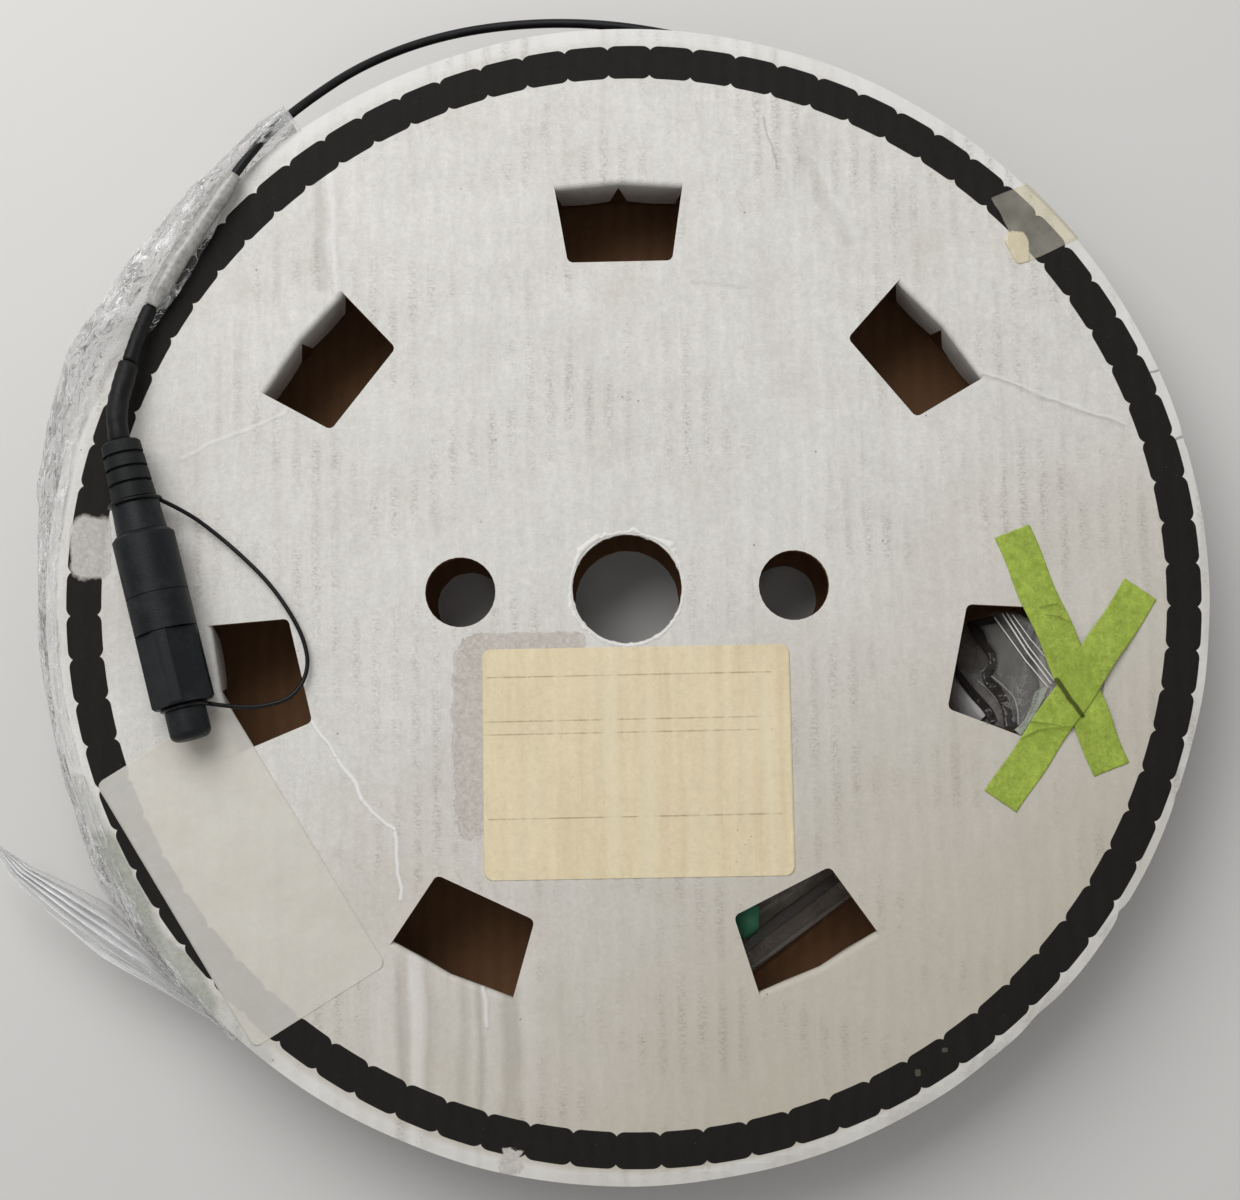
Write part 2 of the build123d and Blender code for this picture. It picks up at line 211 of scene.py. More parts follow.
def laid_over(tree, below, above, mask):
    """Colour with another colour laid over it where the mask says."""
    return add(tree, "Mix", {0: mask, 6: below, 7: above}, data_type="RGBA").outputs[2]


def surfaced(tree, shader, color, normal):
    """Links a colour and a normal to a finish's shader."""
    tree.links.new(color, shader.inputs["Base Color"])
    tree.links.new(normal, shader.inputs["Normal"])


def black_plastic(name, color, roughness, grain_scale, grain_depth, scuff):
    """Dark moulded finish with fine grain, and dust and rubbed places that are paler and duller."""
    made, tree, shader, coords = new_finish(name, color, roughness, Specular_IOR_Level=0.22)
    rubbed = cloud_noise(tree, coords, 130, 6, 0.7)
    dust = remap(tree, rubbed, 0.48, 0.75, scuff)
    pale = [min(1, value * 3 + 0.03) for value in color]
    tint = laid_over(tree, (*color, 1), (*pale, 1), dust)
    dull = remap(tree, rubbed, 0.35, 0.7, roughness + 0.12, roughness - 0.06)
    tree.links.new(dull, shader.inputs["Roughness"])
    surfaced(tree, shader, tint, noise_bump(tree, coords, grain_scale, grain_depth))
    return made


def cord_curve(name, route, diameter, material):
    """Smooth spline with the route's points as its control points, and places along its line."""
    data = bpy.data.curves.new(name, "CURVE")
    data.dimensions = "3D"
    data.resolution_u = 16
    spline = data.splines.new("NURBS")
    spline.points.add(len(route) - 1)
    for point, place in zip(spline.points, route):
        point.co = (*[value * MM for value in place], 1)
    spline.order_u = 3
    spline.use_endpoint_u = True
    made = bpy.data.objects.new(name, data)
    scene.collection.objects.link(made)
    line = bpy.data.meshes.new_from_object(made)
    along = np.array([vertex.co for vertex in line.vertices]) / MM
    bpy.data.meshes.remove(line)
    data.bevel_depth = diameter / 2 * MM
    data.bevel_resolution = 5
    data.use_fill_caps = True
    data.materials.append(material)
    return made, along


jacket_finish = black_plastic("jacket_finish", (0.009, 0.0095, 0.010), 0.42, 2200, 0.00006, 0.25)
cable_tail, tail_line = cord_curve("cable_tail_cord", TAIL_ROUTE, CABLE_D, jacket_finish)
tail_reach = np.concatenate([[0], np.cumsum(np.linalg.norm(np.diff(tail_line, axis=0), axis=1))])

# Sleeves on the tail: a thick and a thin length of black heat-shrink behind the plug, and behind them
# a pale translucent marker sleeve.
SLEEVE_GAP = 0.5
SLEEVE_PLAY = 0.05
SLEEVE_STEP = 0.8
THICK_SLEEVE = (27.0, 7.0)
THIN_SLEEVE = (20.0, 5.0)
LABEL_SLEEVE = (52.0, 8.0)


def tail_point(distance):
    return np.array([np.interp(distance, tail_reach, tail_line[:, axis]) for axis in range(3)])


def tube_on_tail(name, start, end, outside, inside, sides, material):
    """Closed sleeve round the tail; outside and inside give its radii from share and angle."""
    steps = max(8, int((end - start) / SLEEVE_STEP))
    side = Vector((0, 0, 1))
    rings = []
    for step in range(steps + 1):
        share = step / steps
        reach = start + share * (end - start)
        at = tail_point(reach)
        ahead = Vector(tail_point(reach + 0.3) - tail_point(reach - 0.3)).normalized()
        side = (side - ahead * side.dot(ahead)).normalized()
        other = ahead.cross(side)
        for radius_of in (outside, inside):
            for index in range(sides):
                angle = 2 * math.pi * index / sides
                radius = radius_of(share, angle)
                rings.append(
                    at + np.array(side * math.cos(angle) * radius + other * math.sin(angle) * radius)
                )
    faces = []
    for step in range(steps):
        for wall in (0, 1):
            low, high = (2 * step + wall) * sides, (2 * step + 2 + wall) * sides
            for index in range(sides):
                after = (index + 1) % sides
                face = (low + index, low + after, high + after, high + index)
                faces.append(face if wall == 0 else face[::-1])
    for step, flip in ((0, False), (steps, True)):
        outer, inner = 2 * step * sides, (2 * step + 1) * sides
        for index in range(sides):
            after = (index + 1) % sides
            face = (outer + index, inner + index, inner + after, outer + after)
            faces.append(face[::-1] if flip else face)
    return new_piece(name, rings, faces, material)


def shrunk(diameter, waviness, seed):
    """Outside of a shrunk sleeve: rounded off at both ends and a little uneven."""

    def radius(share, angle):
        end = min(share, 1 - share)
        rounding = 0.35 * max(0, 1 - end / 0.035) ** 2
        uneven = math.sin(share * 17 + seed + 2 * angle) * 0.5 + math.sin(
            share * 41 + seed * 3 - angle
        ) * 0.5
        return diameter / 2 - rounding + waviness * (uneven - 1)

    return radius


def bore(share, angle):
    return CABLE_D / 2 + SLEEVE_PLAY


shrink_finish = black_plastic("shrink_finish", (0.008, 0.008, 0.0085), 0.5, 900, 0.00012, 0.3)
thick_end = tail_reach[-1] - SLEEVE_GAP
thin_end = thick_end - THICK_SLEEVE[0] - SLEEVE_GAP
label_end = thin_end - THIN_SLEEVE[0] - SLEEVE_GAP
thick_sleeve = tube_on_tail(
    "thick_shrink_sleeve", thick_end - THICK_SLEEVE[0], thick_end, shrunk(THICK_SLEEVE[1], 0.12, 1.0),
    bore, 28, shrink_finish,
)
thin_sleeve = tube_on_tail(
    "thin_shrink_sleeve", thin_end - THIN_SLEEVE[0], thin_end, shrunk(THIN_SLEEVE[1], 0.08, 2.2),
    bore, 24, shrink_finish,
)


def creased(share, angle):
    """Outside of the pale sleeve, which is flattened and creased like crumpled film."""
    flat = 0.8 + 0.2 * abs(math.sin(angle - 0.7)) ** 1.5
    dents = 0.3 * math.sin(share * 9 + 3 * angle) + 0.16 * math.sin(share * 23 - 5 * angle)
    dents += 0.08 * math.sin(share * 61 + 2 * angle)
    taper = 1 - 0.25 * max(0, 1 - min(share, 1 - share) / 0.12)
    return LABEL_SLEEVE[1] / 2 * flat * taper - 0.2 + dents * 0.22


sleeve_finish, tree, shader, coords = new_finish(
    "sleeve_finish", (0.4, 0.39, 0.36), 0.28, Coat_Weight=0.3
)
mottle = cloud_noise(tree, coords, 420, 6, 0.7, 0.2)
color = two_tones(tree, mottle, 0.36, (0.27, 0.265, 0.245), 0.6, (0.46, 0.455, 0.43))
surfaced(tree, shader, color, noise_bump(tree, coords, 200, 0.0002))
label_sleeve = tube_on_tail(
    "pale_marker_sleeve", label_end - LABEL_SLEEVE[0], label_end, creased, bore, 36, sleeve_finish
)
for sleeve, node, slot in (
    (thick_sleeve, "thick_sleeve", "sleeve_black"),
    (thin_sleeve, "thin_sleeve", "sleeve_black"),
    (label_sleeve, "label_sleeve", "sleeve_white"),
):
    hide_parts(node)
    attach(sleeve, "reel")

# Cap tether: a thin moulded rubber strap that keeps the dust cap on the plug, with a ring round the
# neck and a ring round the cap's tip. It lies in a loose loop over the left window.
TETHER_D = 1.4
TETHER_ROUTE = [
    (-151.65, 31.84, 51.9),
    (-143.4, 28.0, 48.0),
    (-134.0, 20.8, 46.3),
    (-125.5, 13.2, 46.0),
    (-117.0, 4.6, 46.0),
    (-110.0, -5.2, 46.0),
    (-105.0, -15.0, 46.1),
    (-103.6, -24.5, 46.4),
    (-108.2, -33.2, 47.2),
    (-117.5, -36.2, 48.6),
    (-127.0, -36.4, 50.4),
    (-136.25, -34.82, 52.2),
]
TETHER_RING_HALF_LENGTH = 0.62
TETHER_RING_TILT = 0.18
TETHER_RINGS = ((20.3, 13.4, 17.6), (88.7, 11.4, 15.6))

tether_finish = black_plastic("tether_finish", (0.008, 0.008, 0.0085), 0.28, 1500, 0.00004, 0.2)
cap_tether, _ = cord_curve("cap_tether_cord", TETHER_ROUTE, TETHER_D, tether_finish)
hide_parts("cap_tether")
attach(cap_tether, "reel")


def turned(centre, turn, x, y):
    """Place in plan of a point that is given along and across a turned axis."""
    return centre[0] + x * math.cos(
        turn
    ) - y * math.sin(turn), centre[1] + x * math.sin(turn) + y * math.cos(turn)


def on_plug(station, across, up):
    """Point at a station along the plug from the boot's small end."""
    return (*turned(PLUG_START, PLUG_TURN, station, across), PLUG_Z + up)


def net(rows, columns, round_rows, round_columns, flip=False):
    """Faces of a net of points, rows by columns, which may close on itself either way."""
    faces = []
    for row in range(rows if round_rows else rows - 1):
        for column in range(columns if round_columns else columns - 1):
            here, below, beside = row * columns, (row + 1) % rows * columns, (column + 1) % columns
            face = (here + column, here + beside, below + beside, below + column)
            faces.append(face[:1] + face[:0:-1] if flip else face)
    return faces


def ring_round_plug(name, station, inside, outside, material):
    """Round-section ring a little askew on the plug's axis."""
    around, section = 64, 12
    middle, thick = (inside + outside) / 4, (outside - inside) / 4
    vertices = []
    for index in range(around):
        turn = 2 * math.pi * index / around
        for step in range(section):
            part = 2 * math.pi * step / section
            reach = middle + thick * math.cos(part)
            shift = TETHER_RING_HALF_LENGTH * math.sin(part) + TETHER_RING_TILT * math.cos(turn - 0.6)
            vertices.append(on_plug(station + shift, reach * math.cos(turn), reach * math.sin(turn)))
    return new_piece(name, vertices, net(around, section, True, True), material)


rings = [
    ring_round_plug(f"tether_ring_{index}", station, inside, outside, tether_finish)
    for index, (station, inside, outside) in enumerate(TETHER_RINGS)
]
for ring in rings:
    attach(ring, "reel")

# Plug: ribbed rubber boot, neck, long coupling and screwed dust cap, all moulded in dull black. These
# are the modelled solids as they are, so each only takes its finish.
boot_finish = black_plastic("boot_finish", (0.0095, 0.0103, 0.011), 0.58, 1400, 0.0001, 0.35)
plug_finish = black_plastic("plug_finish", (0.0095, 0.0112, 0.0132), 0.44, 1900, 0.00009, 0.3)
for node, material in (
    ("connector_boot", boot_finish),
    ("connector_body", plug_finish),
    ("coupling_nut", plug_finish),
    ("dust_cap", plug_finish),
):
    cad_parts[node].data.materials.clear()
    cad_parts[node].data.materials.append(material)

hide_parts("cable_tail")
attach(cable_tail, "reel")

# Flanges: two die-cut blanks of single-wall corrugated board, white liner outside and brown inside,
# with the fluted medium showing at every cut edge. Each window's flap is folded down into the core.
FLANGE_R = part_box("bottom_flange")[1][0] / MM
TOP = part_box("top_flange")[1][2] / MM
BOARD = 3.0
LINER = 0.35
MEDIUM = 0.25
FLUTE_PITCH = 6.45
SPINDLE_R = 18.0
DRIVE_R = 11.5
DRIVE_AT = 54.5
HOLES = ((0, SPINDLE_R), (-DRIVE_AT, DRIVE_R), (DRIVE_AT, DRIVE_R))
HOLE_STEP = 2.4
WINDOWS = 7
WINDOW_TURNS = [math.radians(90 + index * 360 / WINDOWS) for index in range(WINDOWS)]
WINDOW_INNER_R = 111.0
FOLD_R = 139.4
WINDOW_HALF = math.radians(9)
WINDOW_CORNER_R = 1.5
FLAP_LOW = -24.5
FLAP_LEAN = math.radians(7.5)
FLAP_TAPER = 2.1
NOTCH_HALF = 3.0
FOLD_BEND = 2.0
EDGE_STEP = 0.6
# Nicks in the rim: angle in degrees, width in degrees, depth
RIM_NICKS = ((-34.6, 0.7, 1.1), (-47.5, 1.6, 0.8), (-22, 0.5, 0.5), (14, 0.6, 0.45), (131, 1.2, 0.6))


def polar(radius, angle):
    """Point in plan at a radius and an angle."""
    return np.array([math.cos(angle), math.sin(angle)]) * radius


def spread(corners, step):
    """Closed outline with points along its straight sides, a step apart or less."""
    points = []
    for start, end in zip(corners, np.roll(corners, -1, axis=0)):
        count = max(1, int(np.linalg.norm(end - start) / step))
        points += [start + (end - start) * index / count for index in range(count)]
    return np.array(points)


def circle(radius, centre, step):
    count = int(2 * math.pi * radius / step)
    angles = np.linspace(0, 2 * math.pi, count, endpoint=False)
    return np.column_stack([centre[0] + radius * np.cos(angles), centre[1] + radius * np.sin(angles)])


def rim_radius(angle, worn):
    """Radius of the die-cut rim, with the flat places and small nicks of a used reel."""
    uneven = 0.25 * np.sin(5 * angle + 0.7) + 0.2 * np.sin(11 * angle + 2) + 0.15 * np.sin(23 * angle)
    nicks = 0
    for at, width, depth in RIM_NICKS:
        nicks = nicks + depth * np.exp(-((np.degrees(angle) - at) / width) ** 2)
    return FLANGE_R - 0.35 + worn * (uneven * 0.5 - nicks)


def rim(step, worn):
    count = int(2 * math.pi * FLANGE_R / step)
    angles = np.linspace(-math.pi, math.pi, count, endpoint=False)
    radius = rim_radius(angles, worn)
    return np.column_stack([radius * np.cos(angles), radius * np.sin(angles)])


def window_corners(turn):
    """Window at an angle: rounded inner corners, and the fold line with the notch's apex."""
    inner = [polar(WINDOW_INNER_R, turn + side) for side in (-WINDOW_HALF, WINDOW_HALF)]
    outer = [polar(FOLD_R, turn + side) for side in (WINDOW_HALF, 0, -WINDOW_HALF)]
    corners = []
    for corner, before, after in ((inner[0], outer[2], inner[1]), (inner[1], inner[0], outer[0])):
        first = (before - corner) / np.linalg.norm(before - corner)
        second = (after - corner) / np.linalg.norm(after - corner)
        for share in (1, 0.62, 0.38):
            corners.append(
                corner + WINDOW_CORNER_R * (first * share**1.6 + second * max(0, 1 - share) ** 1.6)
            )
        corners.append(corner + WINDOW_CORNER_R * second)
    return np.array(corners + outer)


def inside(points, corners):
    """Which points lie inside a polygon."""
    result = np.zeros(len(points), bool)
    x, y = points[:, 0], points[:, 1]
    for (ax, ay), (bx, by) in zip(corners, np.roll(corners, -1, axis=0)):
        crosses = ((ay > y) != (by > y)) & (x < (bx - ax) * (y - ay) / (by - ay + 1e-12) + ax)
        result ^= crosses
    return result


windows = [window_corners(turn) for turn in WINDOW_TURNS]


def plate_plan(step, worn):
    """Points and evenly sized triangles of the blank in plan."""
    holes = [circle(radius, (at, 0), HOLE_STEP)[::-1] for at, radius in HOLES]
    loops = [rim(min(step, 2.5), worn), *holes, *[spread(window, step)[::-1] for window in windows]]
    points, edges = [], []
    for loop in loops:
        edges += [
            (len(points) + index, len(points) + (index + 1) % len(loop)) for index in range(len(loop))
        ]
        points += list(loop)
    border = np.array(points)
    rows = np.arange(-FLANGE_R, FLANGE_R, step * 0.866)
    columns = np.arange(-FLANGE_R, FLANGE_R, step)
    grid = np.array(
        [(x + (step / 2 if number % 2 else 0), y) for number, y in enumerate(rows) for x in columns]
    )
    angle = np.arctan2(grid[:, 1], grid[:, 0])
    keep = np.hypot(*grid.T) < rim_radius(angle, worn) - step * 0.6
    for at, radius in HOLES:
        keep &= np.hypot(grid[:, 0] - at, grid[:, 1]) > radius + step * 0.5
    for window in windows:
        middle = window.mean(axis=0)
        keep &= ~inside(grid, middle + (window - middle) * (1 + step / 30))
    everything = np.vstack([border, grid[keep]])
    result = delaunay_2d_cdt([Vector(point) for point in everything], edges, [], 0, 1e-4)
    plan = np.array(result[0])
    triangles = np.array([face for face in result[2] if len(face) == 3])
    middles = plan[triangles].mean(axis=1)
    keep = np.hypot(*middles.T) < rim_radius(np.arctan2(middles[:, 1], middles[:, 0]), worn) + 0.05
    for at, radius in HOLES:
        keep &= np.hypot(middles[:, 0] - at, middles[:, 1]) > radius - 0.12
    for window in windows:
        keep &= ~inside(middles, window)
    return plan, triangles[keep]


def closed_sheet(plan, triangles, low, high):
    """Vertices and faces of a thin plate between two heights, with walls along every border edge."""
    count = len(plan)
    used = set()
    for a, b, c in triangles:
        used |= {(a, b), (b, c), (c, a)}
    walls = [(a, a + count, b + count, b) for a, b in used if (b, a) not in used]
    vertices = np.vstack([np.column_stack([plan, np.full(count, height)]) for height in (high, low)])
    bottom = triangles[:, ::-1] + count
    return vertices, [*map(tuple, triangles), *map(tuple, bottom), *walls]


def medium_strip(loop, closed, depth):
    """Fluted medium along a cut edge whose board lies on the left: one wave, seen end on or side on."""
    ahead = np.roll(loop, -1, axis=0) - np.roll(loop, 1, axis=0)
    if not closed:
        ahead[0], ahead[-1] = loop[1] - loop[0], loop[-1] - loop[-2]
    left = np.column_stack([-ahead[:, 1], ahead[:, 0]]) / np.linalg.norm(ahead, axis=1)[:, None]
    swing = (BOARD - 2 * LINER - MEDIUM) / 2
    rows = []
    for side in (1, -1):
        for reach in (0.12, depth):
            place = loop + left * reach
            height = BOARD / 2 + swing * np.sin(
                2 * math.pi * place[:, 0] / FLUTE_PITCH
            ) + side * MEDIUM / 2
            rows.append(np.column_stack([place, height]))
    count = len(loop)
    faces = []
    for index in range(count if closed else count - 1):
        after = (index + 1) % count
        for first, second in ((0, 1), (1, 3), (3, 2), (2, 0)):
            faces.append(
                (
                    first * count + index,
                    first * count + after,
                    second * count + after,
                    second * count + index,
                )
            )
    return np.vstack(rows), faces


def flap_half(turn, side):
    """Half of a folded flap, as a bent piece of board; side is 1 or -1 about the window's middle."""
    corner, apex = polar(FOLD_R, turn + side * WINDOW_HALF), polar(FOLD_R, turn)
    length = np.linalg.norm(apex - corner)
    along = (apex - corner) / length
    inward = np.array([-along[1], along[0]])
    if np.dot(inward, -apex) < 0:
        inward = -inward
    bend = [math.radians(angle) for angle in (90, 72, 54, 36, 18, 0)]
    outer = [(-0.4, BOARD - 0.02)] + [
        (
            BOARD - FOLD_BEND + FOLD_BEND * math.cos(angle),
            BOARD - FOLD_BEND + FOLD_BEND * math.sin(angle),
        )
        for angle in bend
    ]
    outer += [(BOARD, height) for height in (-2, -6, -10, -14, -18, -21.5, FLAP_LOW)]
    inner = [(0.02, min(height, BOARD - 0.1)) for _, height in outer]
    columns = 10
    grids = []
    for profile in (outer, inner):
        for reach, height in profile:
            drop = max(0, -height) / -FLAP_LOW
            start, end = FLAP_TAPER * drop, length - NOTCH_HALF * drop
            lean = max(0, -height) * math.tan(FLAP_LEAN)
            for step in range(columns + 1):
                bow = 0.4 * drop * math.sin(math.pi * step / columns)
                place = corner + along * (start + (end - start) * step / columns) + inward * (
                    reach - lean + bow
                )
                grids.append((place[0], place[1], height))
    rows = len(outer)
    stride = columns + 1
    faces = []
    for row in range(rows - 1):
        for step in range(columns):
            a = row * stride + step
            faces.append((a, a + 1, a + 1 + stride, a + stride))
            b = a + rows * stride
            faces.append((b + stride, b + 1 + stride, b + 1, b))
    for row in range(rows - 1):
        for step, flip in ((0, False), (columns, True)):
            a = row * stride + step
            face = (a, a + stride, a + stride + rows * stride, a + rows * stride)
            faces.append(face[::-1] if flip else face)
    for step in range(columns):
        for row, flip in ((0, True), (rows - 1, False)):
            a = row * stride + step
            face = (a, a + 1, a + 1 + rows * stride, a + rows * stride)
            faces.append(face[::-1] if flip else face)
    if side < 0:
        faces = [face[::-1] for face in faces]
    return np.array(grids), faces


def blank_parts(step, worn):
    """The blank's meshes with the inner face at z = 0: (vertices, faces, material index) for each."""
    plan, triangles = plate_plan(step, worn)
    parts = [
        (*closed_sheet(plan, triangles, BOARD - LINER, BOARD), 0),
        (*closed_sheet(plan, triangles, 0, LINER), 1),
    ]
    parts.append((*medium_strip(rim(EDGE_STEP, worn), True, 7), 1))
    for at, radius in HOLES:
        parts.append((*medium_strip(circle(radius, (at, 0), EDGE_STEP)[::-1], True, 5), 1))
    for turn, window in zip(WINDOW_TURNS, windows):
        cut = spread(window, EDGE_STEP)
        at_fold = np.dot(cut, (math.cos(turn), math.sin(turn))) > FOLD_R * math.cos(WINDOW_HALF) - 0.1
        first = int(np.argmax(at_fold))
        cut = np.roll(cut, -first, axis=0)[~np.roll(at_fold, -first)]
        parts.append((*medium_strip(cut, False, 5), 1))
        for side in (1, -1):
            parts.append((*flap_half(turn, side), 0))
    return parts


def board_piece(name, parts, place, materials):
    """Joins the blank's meshes into one object after placing their vertices."""
    vertices, faces, slots = [], [], []
    count = 0
    for part_vertices, part_faces, slot in parts:
        vertices.append(place(np.array(part_vertices)))
        faces += [tuple(int(corner) + count for corner in face) for face in part_faces]
        slots += [slot] * len(part_faces)
        count += len(part_vertices)
    made = new_piece(name, np.vstack(vertices), faces, materials, smooth=False)
    made.data.polygons.foreach_set("material_index", slots)
    return made


def top_place(vertices):
    """Lifts the blank to the top of the reel, with the low places that wear has pressed in its rim."""
    x, y = vertices[:, 0], vertices[:, 1]
    radius, angle = np.hypot(x, y), np.degrees(np.arctan2(y, x))
    near_rim = np.clip((radius - 165) / 26, 0, 1) ** 2
    lower_right = np.exp(-((angle + 40) / 42) ** 2)
    waves = 0.5 + 0.5 * np.sin(np.radians(angle) * 9 + 1) * np.cos(np.radians(angle) * 4 - 0.5)
    lip = np.clip((radius - 186.5) / 4, 0, 1) ** 1.5
    dents = 0.5 + 0.5 * np.sin(np.radians(angle) * 31 + 2 * np.sin(np.radians(angle) * 7))
    drop = near_rim * lower_right * (0.4 + 1.1 * waves) + lip * (
        0.25 + lower_right * (0.6 * waves + 0.8 * dents)
    )
    placed = vertices.copy()
    placed[:, 2] += TOP - BOARD - drop
    return placed


def bottom_place(vertices):
    """Turns the blank over about the line of its drive holes and sets it on the floor."""
    return vertices * (1, -1, -1) + (0, 0, BOARD)


# Shader groups for creases, torn patches, and paper grain with painted flute shade, for the board, the
# labels and the tapes
def new_group(name, inputs, outputs):
    """Shader group: itself, its inputs' sockets and its output node."""
    tree = bpy.data.node_groups.new(name, "ShaderNodeTree")
    for side, sockets in (("INPUT", inputs), ("OUTPUT", outputs)):
        for label, kind in sockets.items():
            tree.interface.new_socket(label, in_out=side, socket_type="NodeSocket" + kind)
    return tree, tree.nodes.new("NodeGroupInput").outputs, tree.nodes.new("NodeGroupOutput")


def calc(tree, operation, *values):
    """Math node on sockets or numbers."""
    return add(tree, "Math", dict(enumerate(values)), operation=operation).outputs[0]


def times(tree, first, second):
    return calc(tree, "MULTIPLY", first, second)


def plus(tree, first, second):
    return calc(tree, "ADD", first, second)


def minus(tree, first, second):
    return calc(tree, "SUBTRACT", first, second)


def vector(tree, operation, first, second=None):
    """Vector node on sockets or triples: a vector, or a number where the operation gives one."""
    inputs = {0: first}
    if second is not None:
        inputs["Scale" if operation == "SCALE" else 1] = second
    gives = "Value" if operation in ("DOT_PRODUCT", "LENGTH") else "Vector"
    return add(tree, "VectorMath", inputs, operation=operation).outputs[gives]


def use_group(tree, group, inputs):
    return add(tree, "Group", inputs, node_tree=group).outputs


crease_group, given, result = new_group(
    "crease",
    {"Vector": "Vector", "Start": "Vector", "End": "Vector", "Width": "Float", "Wander": "Float"},
    {"Mask": "Float"},
)
tree = crease_group
wander = add(tree, "TexNoise", {"Vector": given["Vector"], "Scale": 90, "Detail": 3})
centred = vector(tree, "SUBTRACT", wander.outputs["Color"], (0.5, 0.5, 0.5))
shifted = vector(tree, "SCALE", centred, given["Wander"])
place = vector(tree, "ADD", given["Vector"], shifted)
reach = vector(tree, "SUBTRACT", place, given["Start"])
length = vector(tree, "SUBTRACT", given["End"], given["Start"])
flat_reach = vector(tree, "MULTIPLY", reach, (1, 1, 0))
along = vector(tree, "DOT_PRODUCT", flat_reach, length)
whole = vector(tree, "DOT_PRODUCT", length, length)
share = add(tree, "Math", {0: along, 1: whole}, operation="DIVIDE", use_clamp=True).outputs[0]
nearest = vector(tree, "SCALE", length, share)
distance = vector(tree, "LENGTH", vector(tree, "SUBTRACT", flat_reach, nearest))
mask = remap(tree, distance, given["Width"], 0.0, interpolation_type="SMOOTHSTEP")
tree.links.new(mask, result.inputs["Mask"])

patch_group, given, result = new_group(
    "ragged_patch",
    {"Vector": "Vector", "Centre": "Vector", "Half": "Vector", "Ragged": "Float", "Edge": "Float"},
    {"Mask": "Float", "Rim": "Float"},
)
tree = patch_group
reach = vector(tree, "SUBTRACT", given["Vector"], given["Centre"])
share = vector(tree, "DIVIDE", reach, given["Half"])
square = vector(tree, "MULTIPLY", share, share)
fourth = vector(tree, "MULTIPLY", square, square)
size = calc(tree, "POWER", vector(tree, "DOT_PRODUCT", fourth, (1, 1, 0)), 0.25)
torn = cloud_noise(tree, given["Vector"], 190, 5, 0.65)
level = plus(tree, size, times(tree, minus(tree, torn, 0.5), given["Ragged"]))
mask = remap(tree, level, 1.0, minus(tree, 1.0, given["Edge"]))
tree.links.new(mask, result.inputs["Mask"])
from_rim = calc(tree, "ABSOLUTE", minus(tree, level, 0.975))
tree.links.new(remap(tree, from_rim, 0.035, 0.0), result.inputs["Rim"])

grain_and_flute_shade_group, given, result = new_group(
    "grain_and_flute_shade",
    {"Vector": "Vector", "Color": "Color", "Mottle": "Float", "Flute shade": "Float"},
    {"Color": "Color", "Height": "Float"},
)
tree = grain_and_flute_shade_group
fine = cloud_noise(tree, given["Vector"], 1500, 3)
broad = cloud_noise(tree, given["Vector"], 55, 6, 0.65)
across = add(tree, "Mapping", {"Vector": given["Vector"], "Scale": (1, 0.2, 1)})
streak = cloud_noise(tree, across.outputs[0], 700, 4)
spots = cloud_noise(tree, given["Vector"], 480, 5, 0.7)
parts = add(tree, "SeparateXYZ", {"Vector": given["Vector"]})
# Light and dark bands at the flute pitch: painted shade of the washboard in the colour, and relief in
# the height
turns = times(tree, parts.outputs["X"], 2 * math.pi / (FLUTE_PITCH * MM))
flute_strength = remap(tree, broad, 0.35, 0.65, 1.5, 0.25)
flute = times(tree, calc(tree, "SINE", turns), flute_strength)
even = minus(tree, add(tree, "Mix", {0: 0.5, 2: fine, 3: broad}).outputs[0], 0.5)
even = plus(tree, even, times(tree, minus(tree, streak, 0.5), 0.3))
even = plus(tree, even, times(tree, minus(tree, spots, 0.5), 0.7))
value = plus(tree, times(tree, even, given["Mottle"]), times(tree, flute, given["Flute shade"]))
tree.links.new(vector(tree, "SCALE", given["Color"], plus(tree, value, 1.0)), result.inputs["Color"])
height = plus(tree, times(tree, fine, 0.15), times(tree, flute, 0.5))
height = plus(tree, height, times(tree, broad, 0.6))
tree.links.new(height, result.inputs["Height"])


def point(x, y):
    return (x * MM, y * MM, 0)


def crease(tree, coords, start, end, width, wander=0.004):
    """Mask along a line in plan, strongest in its middle; it strays by half of wander, in metres."""
    ends = {"Start": point(*start), "End": point(*end)}
    given = {"Vector": coords, **ends, "Width": width * MM, "Wander": wander}
    return use_group(tree, crease_group, given)["Mask"]


def torn_patch(tree, coords, centre, half, ragged, edge=0.12):
    """Masks of a patch with a ragged outline, and of that outline alone."""
    given = {"Vector": coords, "Centre": point(*centre), "Half": (half[0] * MM, half[1] * MM, 1)}
    made = use_group(tree, patch_group, {**given, "Ragged": ragged, "Edge": edge})
    return made["Mask"], made["Rim"]


def grain_and_flute_shade(tree, coords, color, mottle, flute):
    """Colour of paper with its fibres and with painted light and dark bands of the flutes' washboard,
    and their height.
    """
    given = {"Vector": coords, "Color": (*color, 1), "Mottle": mottle, "Flute shade": flute}
    made = use_group(tree, grain_and_flute_shade_group, given)
    return made["Color"], made["Height"]
